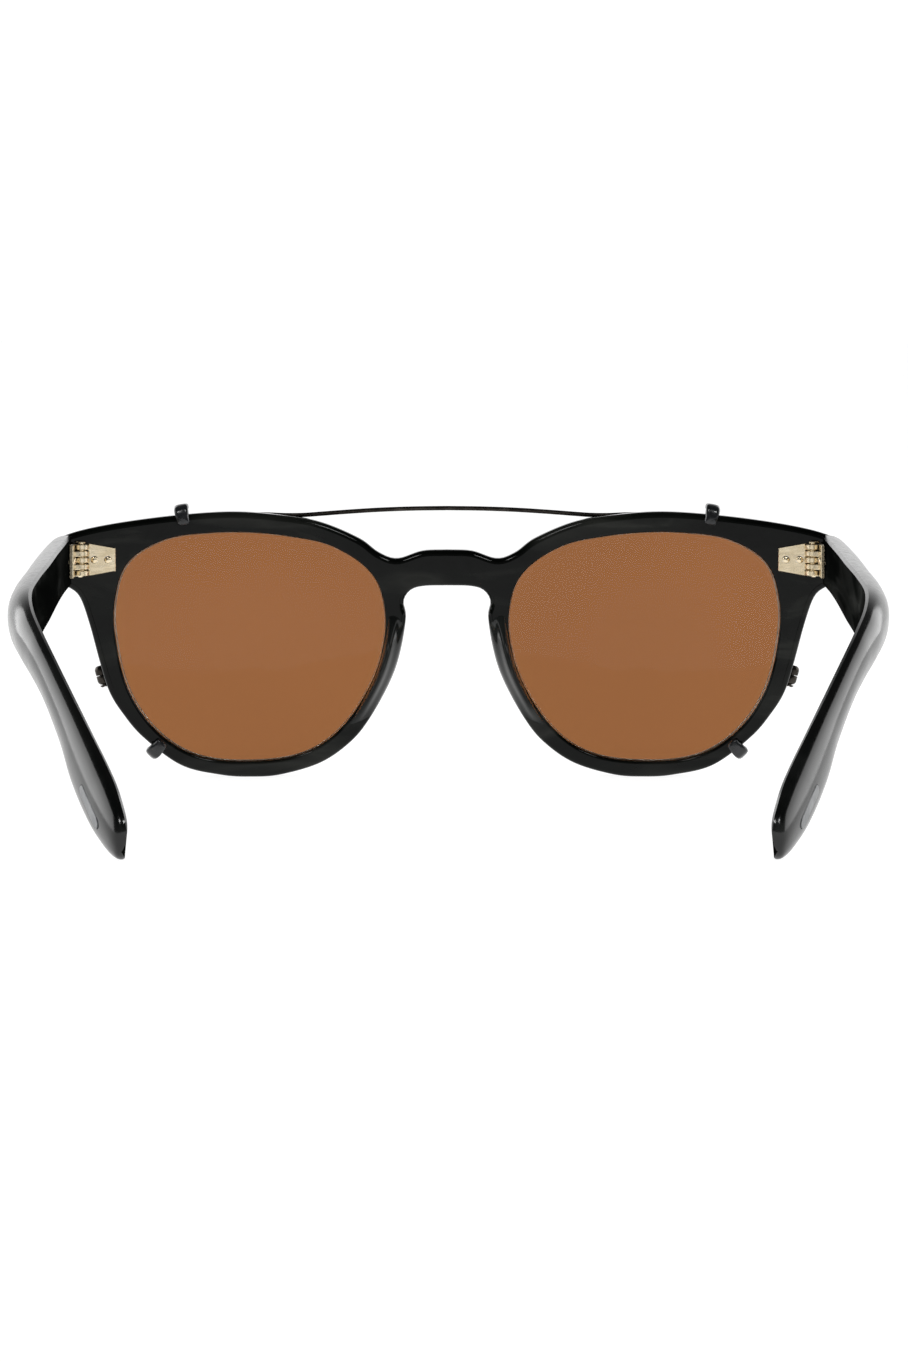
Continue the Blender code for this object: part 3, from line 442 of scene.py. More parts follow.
def between(a, b, c, d, t):
    """The point a part t of the way from b to c, on a smooth curve that also passes a and d."""
    return 0.5 * (2 * b + (c - a) * t + (2 * a - 5 * b + 4 * c - d) * t**2 + (3 * b - a - 3 * c + d) * t**3)


def spline(points, steps):
    """A smooth open curve through the points, with that many steps of equal length."""
    p = np.asarray(points, float)
    p = np.vstack([2 * p[0] - p[1], p, 2 * p[-1] - p[-2]])
    t = np.linspace(0, 1, 24, endpoint=False)[:, None]
    dense = [between(*four, t) for four in zip(p, p[1:], p[2:], p[3:])]
    dense = np.vstack([*dense, p[-2:-1]])
    length = np.r_[0, np.cumsum(np.linalg.norm(np.diff(dense, axis=0), axis=1))]
    at = np.linspace(0, length[-1], steps + 1)
    return np.column_stack([np.interp(at, length, dense[:, k]) for k in range(dense.shape[1])])


def lens_radius(angle):
    """The aperture's radius at an angle in degrees, on a smooth closed curve through LENS_SHAPE."""
    angles, radii = np.array(LENS_SHAPE, float).T
    angles = np.r_[angles[-3:] - 360, angles, angles[:3] + 360]
    radii = np.r_[radii[-3:], radii, radii[:3]]
    angle = np.asarray(angle, float) % 360
    k = np.searchsorted(angles, angle, side="right") - 1
    slopes = (radii[2:] - radii[:-2]) / (angles[2:] - angles[:-2])
    step = angles[k + 1] - angles[k]
    t = (angle - angles[k]) / step
    return (
        (2 * t**3 - 3 * t**2 + 1) * radii[k]
        + (t**3 - 2 * t**2 + t) * step * slopes[k - 1]
        + (3 * t**2 - 2 * t**3) * radii[k + 1]
        + (t**3 - t**2) * step * slopes[k]
    )


def lens_point(angle):
    """Points (X, Z) of the left lens aperture at angles in degrees."""
    radius, turn = lens_radius(angle), np.radians(angle)
    return np.column_stack([LENS_CENTRE[0] - radius * np.cos(turn), LENS_CENTRE[1] + radius * np.sin(turn)])


def lens_outline(count):
    return lens_point(np.arange(count) * 360 / count)


def circle(sides):
    """Points of a circle of radius 1."""
    turn = np.arange(sides) * 2 * math.pi / sides
    return np.column_stack([np.cos(turn), np.sin(turn)])


def front_outline(steps):
    """Points (X, Z) of the whole front's outline, from the top of the bridge through the left half."""
    half = spline(FRONT_OUTLINE, steps)
    half[0, 0] = half[-1, 0] = 0
    return np.vstack([half, half[-2:0:-1] * (-1, 1)])


def outward(contour):
    """The unit normals of a closed contour, pointing away from what it encloses."""
    run = np.roll(contour, -1, axis=0) - np.roll(contour, 1, axis=0)
    normal = np.column_stack([run[:, 1], -run[:, 0]]) / np.linalg.norm(run, axis=1)[:, None]
    area = np.sum(contour[:, 0] * np.roll(contour[:, 1], -1) - np.roll(contour[:, 0], -1) * contour[:, 1])
    return normal * np.sign(area)


def inside(contours, points):
    """Which points lie within an odd number of the closed contours."""
    within = np.zeros(len(points), bool)
    for contour in contours:
        for (ax, az), (bx, bz) in zip(contour, np.roll(contour, -1, axis=0)):
            crosses = (az > points[:, 1]) != (bz > points[:, 1])
            reach = ax + (points[:, 1] - az) / (bz - az if bz != az else 1) * (bx - ax)
            within ^= crosses & (points[:, 0] < reach)
    return within


def bands(rings):
    """Quads between successive closed rings of point numbers."""
    faces = []
    for low, high in zip(rings, rings[1:]):
        faces += list(np.column_stack([low, np.roll(low, -1), np.roll(high, -1), high]))
    return faces


def loft(sections):
    """A tube through sections of equal size, capped at both ends."""
    sections = np.asarray(sections, float)
    count, n = sections.shape[:2]
    rings = [k * n + np.arange(n) for k in range(count)]
    return sections.reshape(-1, 3), [*bands(rings), rings[0][::-1], rings[-1]]


def plate(contours, lattice):
    """A flat plate with holes. Each contour is (points, levels), and a level is (offset away from what the
    contour encloses, Y), from the rear face through the wall to the front face."""
    rims = [points + levels[0][0] * outward(points) for points, levels in contours]
    clear = 0.55 * LATTICE
    fill = np.array([q for q in lattice if min(np.linalg.norm(r - q, axis=1).min() for r in rims) > clear])
    flat = np.vstack([*rims, fill[inside(rims, fill)]])
    edges, first = [], 0
    for rim in rims:
        edges += [(first + k, first + (k + 1) % len(rim)) for k in range(len(rim))]
        first += len(rim)
    _, _, triangles, origins, _, _ = delaunay_2d_cdt(flat.tolist(), edges, [], 0, 1e-6)
    triangles = np.array([[origins[v][0] for v in triangle] for triangle in triangles])
    triangles = triangles[inside(rims, flat[triangles].mean(axis=1))]

    rear_y, front_y = contours[0][1][0][1], contours[0][1][-1][1]
    points = [np.column_stack([flat[:, 0], np.full(len(flat), y), flat[:, 1]]) for y in (rear_y, front_y)]
    faces = [*triangles, *(triangles[:, ::-1] + len(flat))]
    first, total = 0, 2 * len(flat)
    for contour, levels in contours:
        n, normal = len(contour), outward(contour)
        rings = [first + np.arange(n)]
        for offset, y in levels[1:-1]:
            ring = contour + offset * normal
            points.append(np.column_stack([ring[:, 0], np.full(n, y), ring[:, 1]]))
            rings.append(total + np.arange(n))
            total += n
        rings.append(len(flat) + first + np.arange(n))
        faces += bands(rings)
        first += n
    return np.vstack(points), faces


def quarter(radius, steps=6):
    """(inset, depth) along a rounded edge, from the face round to the wall."""
    turn = np.linspace(0, math.pi / 2, steps + 1)
    return [(radius * (1 - math.sin(a)), radius * (1 - math.cos(a))) for a in turn]


def rod(start, end, radius, sides=32, profile=None):
    """A turned pin between two points. The profile is (part of the length, radius) from start to end."""
    start, end = np.array(start, float), np.array(end, float)
    along = (end - start) / np.linalg.norm(end - start)
    across = np.cross(along, (0, 0, 1) if abs(along[2]) < 0.9 else (1, 0, 0))
    across /= np.linalg.norm(across)
    ring = circle(sides) @ np.array([across, np.cross(along, across)])
    profile = profile or [(0, radius), (1, radius)]
    return loft([start + part * (end - start) + r * ring for part, r in profile])


def block(centre, axes, sizes):
    """A box about a centre, along three axes."""
    a, b, c = (np.array(axis, float) * size / 2 for axis, size in zip(axes, sizes))
    corners = ((-1, -1), (1, -1), (1, 1), (-1, 1))
    return loft([[centre + s * c + u * a + v * b for u, v in corners] for s in (-1, 1)])


def chamfered(section, level, thickness, chamfer):
    """A flat piece with chamfered edges, from an outline of (a, b). level(a, b, t) gives the point at t."""
    section = np.asarray(section, float)
    inner = section - chamfer * outward(section)
    layers = [(inner, 0), (section, chamfer), (section, thickness - chamfer), (inner, thickness)]
    return loft([[level(a, b, height) for a, b in outline] for outline, height in layers])


# ---------------------------------------------------------------- the acetate front and its lenses


def acetate_front():
    """The front, with rounded edges, a groove round each aperture and holes for the hinge rivets."""
    rear, front, middle = 0.0, -FRONT_THICKNESS, -FRONT_THICKNESS / 2
    round_outer, round_inner = quarter(OUTER_ROUNDING), quarter(APERTURE_ROUNDING, 5)
    wall = [(-OUTER_ROUNDING - SUPPORT, rear), *((-inset, rear - depth) for inset, depth in round_outer)]
    wall += [(-inset, front + depth) for inset, depth in round_outer[::-1]]
    wall.append((-OUTER_ROUNDING - SUPPORT, front))
    groove = [(APERTURE_ROUNDING + SUPPORT, rear), *((inset, rear - depth) for inset, depth in round_inner)]
    groove += [(0, middle + GROOVE_HALF_WIDTH), (GROOVE_DEPTH, middle), (0, middle - GROOVE_HALF_WIDTH)]
    groove += [(inset, front + depth) for inset, depth in round_inner[::-1]]
    groove.append((APERTURE_ROUNDING + SUPPORT, front))
    contours = [(front_outline(OUTLINE_STEPS), wall)]
    for side in SIDES.values():
        contours.append((lens_outline(APERTURE_STEPS) * (side, 1), groove))
        for x in FRONT_RIVETS_X:
            contours.append((RIVET_HOLE_RADIUS * circle(24) + (side * x, HINGE_Z), [(0, rear), (0, front)]))
    lattice = [(x, z) for x in np.arange(-68, 69, LATTICE) for z in np.arange(1, 46, LATTICE)]
    obj = make_mesh("acetate_front_polished", curved(plate(contours, lattice)))
    finish_piece(obj, "acetate_front", "front", "front_acetate", 50)


def lens(groove_bottom, mid_y, edge_gap, thickness, bevel):
    """A meniscus lens whose bevelled edge stands in a groove, the bottom of which lies that far outside the
    aperture of the front. It comes with the numbers of the faces of that bevel."""
    contour = lens_outline(LENS_STEPS)
    normal, centre = outward(contour), np.array(LENS_CENTRE)
    edge = groove_bottom - edge_gap
    rim = contour + (edge - bevel) * normal
    surfaces = []
    for y_side in (1, -1):
        rings = []
        for part in np.linspace(1 / LENS_RINGS, 1, LENS_RINGS):
            ring = centre + part * (rim - centre)
            y = mid_y + y_side * thickness / 2 - LENS_DOME * (1 - part**2)
            rings.append(np.column_stack([ring[:, 0], np.full(len(ring), y), ring[:, 1]]))
        surfaces.append(rings)
    tip = contour + edge * normal
    tip = np.column_stack([tip[:, 0], np.full(len(tip), mid_y), tip[:, 1]])
    rings = [*surfaces[0], tip, *surfaces[1][::-1]]
    n = len(contour)
    points = np.vstack(rings)
    numbers = [k * n + np.arange(n) for k in range(len(rings))]
    faces = bands(numbers)
    for ring, y_side in ((numbers[0], 1), (numbers[-1], -1)):
        points = np.vstack([points, (centre[0], mid_y + y_side * thickness / 2 - LENS_DOME, centre[1])])
        faces += [(a, b, len(points) - 1) for a, b in zip(ring, np.roll(ring, -1))]
    edge_faces = range((LENS_RINGS - 1) * n, (LENS_RINGS + 1) * n)
    return curved((points, faces)), edge_faces


def lenses(name, shape, edge_faces, body, slot, edge):
    for side_name, side in SIDES.items():
        node = f"{name}_{side_name}"
        obj = make_mesh(f"{node}_polished", mirrored(shape, side))
        obj.data.materials.append(MATERIALS[slot])
        obj.data.materials.append(MATERIALS[edge])
        for k in edge_faces:
            obj.data.polygons[k].material_index = 1
        finish_piece(obj, node, body, slot, 25)


def nose_pads():
    """Ridges of acetate behind the nasal sides of the rims, splayed to rest on the nose."""
    half = spline(FRONT_OUTLINE, 400)
    nasal = half[(half[:, 1] > 4) & (half[:, 1] < 30) & (half[:, 0] < 20)]
    nasal = nasal[np.argsort(nasal[:, 1])]
    across, height = spline(PAD_PROFILE, 28).T
    sections = []
    for t in np.linspace(0.02, 0.98, 60):
        z = PAD_BOTTOM + t * (PAD_TOP - PAD_BOTTOM)
        x = np.interp(z, nasal[:, 1], nasal[:, 0]) + PAD_SETBACK
        rise = PAD_HEIGHT * math.sin(math.pi * t) ** 0.8
        level = np.full(len(across), z)
        sections.append(np.column_stack([x + PAD_WIDTH * across, rise * height - PAD_SINK, level]))
    for name, side in SIDES.items():
        obj = make_mesh(f"nose_pad_{name}_polished", mirrored(loft(sections), side))
        finish_piece(obj, f"nose_pad_{name}", "front", "pad_acetate", 60)


# ---------------------------------------------------------------- hinges


def knuckle(tail, start, end, bottom, top):
    """A barrel with chamfered ends, and a tail that runs into its leaf."""
    turn = np.radians(np.linspace(start, end, 41))
    wall = [(PIN[0] + KNUCKLE_RADIUS * math.cos(a), PIN[1] + KNUCKLE_RADIUS * math.sin(a)) for a in turn]
    outline = [tail[0], *wall, tail[1]]
    return chamfered(outline, lambda x, y, height: (x, y, bottom + height), top - bottom, KNUCKLE_CHAMFER)


def knuckle_spans():
    """The (bottom, top) of each barrel of a hinge."""
    step = HINGE_HEIGHT / KNUCKLES
    starts = HINGE_Z - HINGE_HEIGHT / 2 + step * np.arange(KNUCKLES)
    return [(start + KNUCKLE_GAP / 2, start + step - KNUCKLE_GAP / 2) for start in starts]


def hinges():
    px, py = PIN
    low, high = HINGE_Z - HINGE_HEIGHT / 2, HINGE_Z + HINGE_HEIGHT / 2
    taper = (HINGE_HEIGHT - FRONT_LEAF_END_HEIGHT) / 2
    under = float(sag(FRONT_TAIL_X)) + LEAF_GAP
    front_tail = (FRONT_TAIL_X, under + LEAF_THICKNESS + TAIL_RISE), (FRONT_TAIL_X, under + TAIL_SINK)
    inner = TEMPLE_INNER_X - LEAF_GAP
    temple_tail = (inner - TAIL_SINK, TEMPLE_TAIL_Y), (inner - LEAF_THICKNESS - TAIL_RISE, TEMPLE_TAIL_Y)
    bore = rod((px, py, low - 1), (px, py, high + 1), BORE_RADIUS)

    outline = [
        (FRONT_LEAF_START, low), (FRONT_LEAF_START, high),
        (FRONT_LEAF_END, high - taper), (FRONT_LEAF_END, low + taper),
    ]
    front_plate = curved(chamfered(
        outline, lambda x, z, height: (x, LEAF_GAP + height, z), LEAF_THICKNESS, LEAF_CHAMFER))
    outline = [(y, z) for y in (TEMPLE_LEAF_START, TEMPLE_LEAF_END) for z in (low, high)]
    outline = [outline[0], outline[1], outline[3], outline[2]]
    temple_plate = chamfered(
        outline, lambda y, z, height: (inner - LEAF_THICKNESS + height, y, z), LEAF_THICKNESS, LEAF_CHAMFER)

    for name, side in SIDES.items():
        obj = make_mesh(f"hinge_front_leaf_{name}_plated", mirrored(front_plate, side))
        barrels = [knuckle(front_tail, 170, -100, *span) for span in knuckle_spans()[::2]]
        cut(obj, [mirrored(barrel, side) for barrel in barrels], "UNION")
        holes = [rod((x, -1, HINGE_Z), (x, 9, HINGE_Z), RIVET_HOLE_RADIUS) for x in FRONT_RIVETS_X]
        cut(obj, [mirrored(hole, side) for hole in [bore, *holes]])
        finish_piece(obj, f"hinge_front_leaf_{name}", "front", "gold_hinge", 30)

        obj = make_mesh(f"hinge_temple_leaf_{name}_plated", mirrored(temple_plate, side))
        barrels = [knuckle(temple_tail, 10, -260, *span) for span in knuckle_spans()[1::2]]
        cut(obj, [mirrored(barrel, side) for barrel in barrels], "UNION")
        holes = [rod((px - 1, y, HINGE_Z), (px + 9, y, HINGE_Z), RIVET_HOLE_RADIUS) for y in TEMPLE_RIVETS_Y]
        cut(obj, [mirrored(hole, side) for hole in [bore, *holes]])
        finish_piece(obj, f"hinge_temple_leaf_{name}", f"temple_{name}", "gold_hinge", 30)

        length = HINGE_HEIGHT + 0.2 + SCREW_HEAD_HEIGHT
        neck = 1 - SCREW_HEAD_HEIGHT / length
        profile = [
            (0, PIN_RADIUS - 0.15), (0.03, PIN_RADIUS), (neck, PIN_RADIUS), (neck, SCREW_HEAD_RADIUS),
            (0.985, SCREW_HEAD_RADIUS), (0.995, SCREW_HEAD_RADIUS - 0.08), (1, SCREW_HEAD_RADIUS - 0.22),
        ]
        top = low - 0.1 + length
        obj = make_mesh(f"hinge_screw_{name}_plated",
                        mirrored(rod((px, py, low - 0.1), (px, py, top), PIN_RADIUS, 32, profile), side))
        turned = (math.cos(0.6), math.sin(0.6), 0), (-math.sin(0.6), math.cos(0.6), 0), (0, 0, 1)
        slot = block(np.array([px, py, top]), turned, (3, SLOT_WIDTH, 2 * SLOT_DEPTH))
        cut(obj, [mirrored(slot, side)])
        finish_piece(obj, f"hinge_screw_{name}", "front", "gold_hinge", 30)


def rivet(start, end):
    """A hinge rivet with a domed head at its start and a slightly domed foot at its end."""
    length = np.linalg.norm(np.subtract(end, start))
    dome = [(RIVET_HEAD_HEIGHT * (1 - math.cos(a)), RIVET_HEAD_RADIUS * math.sin(a))
            for a in np.linspace(0.15, math.pi / 2, 7)]
    profile = [(height / length, radius) for height, radius in dome]
    profile += [(0.4 / length, RIVET_RADIUS), (1 - 0.08 / length, RIVET_RADIUS), (1, RIVET_RADIUS - 0.12)]
    return rod(start, end, RIVET_RADIUS, 24, profile)


def rivets():
    face = TEMPLE_INNER_X - LEAF_GAP - LEAF_THICKNESS
    for name, side in SIDES.items():
        for number, x in enumerate(FRONT_RIVETS_X, 1):
            back = float(sag(x))
            start = (x, back + LEAF_GAP + LEAF_THICKNESS + RIVET_HEAD_HEIGHT, HINGE_Z)
            node = f"front_rivet_{name}_{number}"
            pin = rivet(start, (x, back - FRONT_THICKNESS, HINGE_Z))
            obj = make_mesh(f"{node}_plated", mirrored(pin, side))
            finish_piece(obj, node, "front", "gold_hinge", 40)
        for number, y in enumerate(TEMPLE_RIVETS_Y, 1):
            start = (face - RIVET_HEAD_HEIGHT, y, HINGE_Z)
            end = (TEMPLE_INNER_X + TEMPLE_RIVET_REACH, y, HINGE_Z)
            node = f"temple_rivet_{name}_{number}"
            obj = make_mesh(f"{node}_plated", mirrored(rivet(start, end), side))
            finish_piece(obj, node, f"temple_{name}", "gold_hinge", 40)


# ---------------------------------------------------------------- temples


def temple_frame(at):
    """The upper edge, lower edge and thickness of the left temple at a station, or between two."""
    table = np.array([(x_up, *up, x_low, *low, t) for up, low, x_up, x_low, t in TEMPLE_STATIONS])
    k = min(int(at), len(table) - 2)
    t = at - k
    a, b, c, d = (table[min(max(i, 0), len(table) - 1)] for i in (k - 1, k, k + 1, k + 2))
    row = between(a, b, c, d, t)
    return row[:3], row[3:6], row[6]


def temple_axes(at):
    """The middle of the left temple's inner face at a station, and its outward and upward directions."""
    upper, lower, _ = temple_frame(at)
    ahead, behind = temple_frame(min(at + 0.1, len(TEMPLE_STATIONS) - 1)), temple_frame(max(at - 0.1, 0))
    along = (ahead[0] + ahead[1]) - (behind[0] + behind[1])
    height = (upper - lower) / np.linalg.norm(upper - lower)
    out = np.cross(along, height)
    return (upper + lower) / 2, out * np.sign(out[0]) / np.linalg.norm(out), height


def temple_profile(size, thickness, shrink):
    """(h, w) round a D-shaped section, flat inside with a rounded rim, and drawn in towards its middle."""
    rim = min(EDGE_ROUNDING, thickness / 4)
    profile = [(h, 0) for h in np.linspace(rim - size / 2, size / 2 - rim, INNER_STEPS + 1)]
    power = 2 / SECTION_POWER
    for turn in np.linspace(0, math.pi, OUTER_POINTS):
        h = math.copysign(abs(math.cos(turn)) ** power, math.cos(turn)) * size / 2
        profile.append((h, rim + (thickness - rim) * math.sin(turn) ** power))
    core = np.array([0, thickness / 2])
    return core + (np.array(profile) - core) * shrink


def temple_section(at, inset=0.0):
    """The section of the left temple at a station, drawn in by an even inset."""
    upper, lower, thickness = temple_frame(at)
    middle, out, height = temple_axes(at)
    size = np.linalg.norm(upper - lower)
    profile = temple_profile(size, thickness, 1 - inset / np.array([size / 2, thickness / 2]))
    return middle + profile @ np.array([height, out])


def temple_shape():
    """The whole temple: a rounded butt at the hinge, a long sweep, and a tip that closes in a round."""
    first_run = TEMPLE_STATIONS[1][0][0] - TEMPLE_STATIONS[0][0][0]
    sections = [temple_section(depth / first_run, inset) for inset, depth in quarter(END_ROUNDING, 5)]
    sections += [temple_section(at) for at in np.arange(0.1, TIP_START, 0.1)]
    upper, lower, thickness = temple_frame(TIP_START)
    size = np.linalg.norm(upper - lower)
    stations = np.arange(TIP_START, len(TEMPLE_STATIONS) - 0.95, 0.1)
    route = np.array([temple_axes(at)[0] for at in stations])
    distance = np.r_[0, np.cumsum(np.linalg.norm(np.diff(route, axis=0), axis=1))]
    for turn in np.linspace(0, 0.497 * math.pi, 36):
        gone = TIP_LENGTH * math.sin(turn)
        closing = np.array([(1 - math.sin(turn) ** p) ** (1 / p) for p in (TIP_POWER, TIP_EDGE_POWER)])
        _, out, height = temple_axes(np.interp(gone, distance, stations))
        beyond = max(0, gone - distance[-1]) * (route[-1] - route[-2]) / (distance[-1] - distance[-2])
        middle = [np.interp(gone, distance, route[:, k]) for k in range(3)] + beyond
        sections.append(middle + temple_profile(size, thickness, closing) @ np.array([height, out]))
    return loft(sections)


def core_tube(radius, start, end, sides):
    """A round tube along the core's route through the left temple, between two values of Y."""
    route = []
    for at in np.linspace(0, len(TEMPLE_STATIONS) - 1, 200):
        middle, out, height = temple_axes(at)
        fade = max(0.0, 1 - middle[1] / CORE_LEVEL_FROM)
        route.append(middle + CORE_DEPTH * temple_frame(at)[2] * out - CORE_DROP * fade * height)
    route = np.array(route)
    at = np.linspace(start, end, 60)
    centres = np.column_stack([np.interp(at, route[:, 1], route[:, k]) for k in range(3)])
    centres[:, 1] = at
    sections = []
    for k, centre in enumerate(centres):
        run = centres[min(k + 1, len(centres) - 1)] - centres[max(k - 1, 0)]
        run /= np.linalg.norm(run)
        side = np.cross(run, (0, 0, 1))
        side /= np.linalg.norm(side)
        sections.append(centre + radius * circle(sides) @ np.array([side, np.cross(run, side)]))
    return loft(sections)


def inlay_shape(grow, depth, proud, chamfer):
    """A stadium-shaped plate in the outer face of the left paddle."""
    thickness = temple_frame(INLAY_STATION)[2]
    middle, out, height = temple_axes(INLAY_STATION)
    along = np.cross(out, height)
    half, radius = (INLAY_LENGTH - INLAY_WIDTH) / 2, INLAY_WIDTH / 2 + grow
    outline = []
    for end in (1, -1):
        for turn in np.linspace(-math.pi / 2, math.pi / 2, 25):
            outline.append((end * (half + radius * math.cos(turn)), end * radius * math.sin(turn)))
    base = middle + (thickness - depth) * out
    return chamfered(
        outline, lambda a, h, level: base + a * along + h * height + level * out, depth + proud, chamfer)


def temples():
    shape = temple_shape()
    profile_size = INNER_STEPS + 1 + OUTER_POINTS
    channel = core_tube(CORE_CHANNEL_RADIUS, CHANNEL_START, CHANNEL_END, 16)
    core = core_tube(CORE_RADIUS, CORE_START, CORE_END, 24)
    recess = inlay_shape(INLAY_GAP, INLAY_DEPTH + INLAY_GAP, 1.0, 0.01)
    inlay = inlay_shape(0, INLAY_DEPTH, INLAY_PROUD, INLAY_CHAMFER)
    holes = []
    for y in TEMPLE_RIVETS_Y:
        start, end = (TEMPLE_INNER_X - 1, y, HINGE_Z), (TEMPLE_INNER_X + 6, y, HINGE_Z)
        holes.append(rod(start, end, RIVET_HOLE_RADIUS, 24))
    for name, side in SIDES.items():
        body = f"temple_{name}"
        obj = make_mesh(f"temple_arm_{name}_polished", mirrored(shape, side))
        obj.data.materials.append(MATERIALS["temple_acetate"])
        obj.data.materials.append(MATERIALS["temple_inside"])
        for polygon in obj.data.polygons:
            polygon.material_index = polygon.index % profile_size < INNER_STEPS
        cut(obj, [mirrored(tool, side) for tool in [channel, recess, *holes]])
        finish_piece(obj, f"temple_arm_{name}", body, "temple_acetate", 40)
        obj = make_mesh(f"temple_core_{name}_drawn", mirrored(core, side))
        finish_piece(obj, f"temple_core_{name}", body, "steel_core")
        obj = make_mesh(f"temple_inlay_{name}_brushed", mirrored(inlay, side))
        finish_piece(obj, f"temple_inlay_{name}", body, "silver_inlay", 30)


# ---------------------------------------------------------------- clip-on


def clip_rims():
    """Thin metal rims with a lens groove and rounded edges, split where the closing barrel stands."""
    half = math.degrees(RIM_SPLIT / 2 / float(lens_radius(BARREL_ANGLE)))
    route = lens_point(np.linspace(BARREL_ANGLE + half, BARREL_ANGLE + 360 - half, 220))
    run = np.gradient(route, axis=0)
    normal = np.column_stack([-run[:, 1], run[:, 0]]) / np.linalg.norm(run, axis=1)[:, None]
    normal *= np.sign(np.sum(normal * (route - LENS_CENTRE), axis=1))[:, None]
    depth, bottom = CLIP_RIM_HALF_DEPTH, CLIP_RIM_INNER + CLIP_GROOVE
    profile = [(CLIP_RIM_OUTER - inset, depth - down) for inset, down in quarter(0.3, 4)[::-1]]
    profile += [(CLIP_RIM_INNER + inset, depth - down) for inset, down in quarter(0.15, 3)]
    profile.append((CLIP_RIM_INNER, CLIP_GROOVE_HALF_WIDTH))
    profile += [(bottom, 0), *((offset, -y) for offset, y in profile[::-1])]
    sections = []
    for place, away in zip(route, normal):
        flat = [(*(place + offset * away), y) for offset, y in profile]
        sections.append([(x, CLIP_PLANE + y, z) for x, z, y in flat])
    for name, side in SIDES.items():
        obj = make_mesh(f"clip_rim_{name}_plated", mirrored(curved(loft(sections)), side))
        finish_piece(obj, f"clip_rim_{name}", "clip_on", "gunmetal", 35)


def brow_bar():
    """The springy wire that joins the two rims and arches over the bridge, with rounded ends."""
    path = spline(BAR_PATH, 90)
    path = np.vstack([path[:0:-1] * (-1, 1), path])
    across, deep = circle(20).T
    sections = []
    for k, (x, z) in enumerate(path):
        run = path[min(k + 1, len(path) - 1)] - path[max(k - 1, 0)]
        rise = np.array([-run[1], run[0]]) / np.linalg.norm(run)
        from_end = min(k, len(path) - 1 - k) * np.linalg.norm(run) / 2
        radius = BAR_RADIUS * math.sqrt(1 - max(0, 1 - (from_end + 0.02) / BAR_RADIUS) ** 2)
        ring = [x + radius * across * rise[0], CLIP_PLANE + radius * deep, z + radius * across * rise[1]]
        sections.append(np.column_stack(ring))
    obj = make_mesh("brow_bar_plated", curved(loft(sections)))
    finish_piece(obj, "brow_bar", "clip_on", "gunmetal", 50)


def closing_barrels():
    """The two halves of the barrel that closes each rim, and the slotted screw through them."""
    places = lens_point(np.array([BARREL_ANGLE - 2, BARREL_ANGLE, BARREL_ANGLE + 2]))
    along = (places[0] - places[2]) / np.linalg.norm(places[0] - places[2])
    away = np.array([along[1], -along[0]])
    away *= np.sign(away[0])
    x, z = places[1] + BARREL_OFFSET * away
    centre = np.array([x, CLIP_PLANE + float(sag(x)), z])
    axis = np.array([along[0], 0, along[1]])
    inner_end = [(depth / BARREL_LENGTH, BARREL_RADIUS - inset) for inset, depth in quarter(0.1, 2)]
    outer_end = [(depth / BARREL_LENGTH, BARREL_RADIUS - inset) for inset, depth in quarter(BARREL_ROUNDING)]
    profile = inner_end + [(1 - part, radius) for part, radius in outer_end[::-1]]
    foot = centre - axis * (BARREL_LENGTH + BARREL_GAP + 0.1 + SCREW_FOOT_HEIGHT)
    head = centre + axis * (BARREL_LENGTH - 0.1)
    part = SCREW_FOOT_HEIGHT / np.linalg.norm(head - foot)
    screw_profile = [
        (0, SCREW_FOOT_RADIUS - 0.25), (0.3 * part, SCREW_FOOT_RADIUS - 0.08),
        (0.7 * part, SCREW_FOOT_RADIUS), (part, SCREW_FOOT_RADIUS), (part, SCREW_RADIUS), (1, SCREW_RADIUS),
    ]
    screw = rod(foot, head, SCREW_RADIUS, 32, screw_profile)
    slot_axes = ((0, 1, 0), np.cross(axis, (0, 1, 0)), axis)
    slot = block(foot, slot_axes, (3, SLOT_WIDTH, 0.7 * SLOT_DEPTH))
    bore = rod(centre - 4 * axis, centre + 4 * axis, SCREW_RADIUS + 0.1)
    for name, side in SIDES.items():
        for half, sign in (("upper", 1), ("lower", -1)):
            ends = [centre + sign * axis * distance for distance in (BARREL_GAP, BARREL_GAP + BARREL_LENGTH)]
            node = f"barrel_{half}_{name}"
            obj = make_mesh(f"{node}_plated", mirrored(rod(*ends, BARREL_RADIUS, 40, profile), side))
            cut(obj, [mirrored(bore, side)])
            finish_piece(obj, node, "clip_on", "gunmetal", 35)
        obj = make_mesh(f"barrel_screw_{name}_plated", mirrored(screw, side))
        cut(obj, [mirrored(slot, side)])
        finish_piece(obj, f"barrel_screw_{name}", "clip_on", "gunmetal", 35)


def hook_route(where):
    """A hook's centre line as (distance out past the front's edge, Y), from the rim to its tip."""
    x, _ = HOOK_EDGE_POINTS[where]
    back = float(sag(x))
    foot, y = HOOK_RIM_DISTANCES[where], back + CLIP_PLANE
    return np.array([
        (foot, y), ((foot + HOOK_RISE) / 2, y), (HOOK_RISE - 0.25, y + 0.35), (HOOK_RISE, y + 1.4),
        (HOOK_RISE, back - 2.0), (HOOK_RISE, back - 0.3), (HOOK_RISE - 0.35, back + 0.75 * HOOK_CLEARANCE),
        (-0.3, back + 1.05 * HOOK_CLEARANCE), (-HOOK_REACH, back + HOOK_CLEARANCE),
    ])


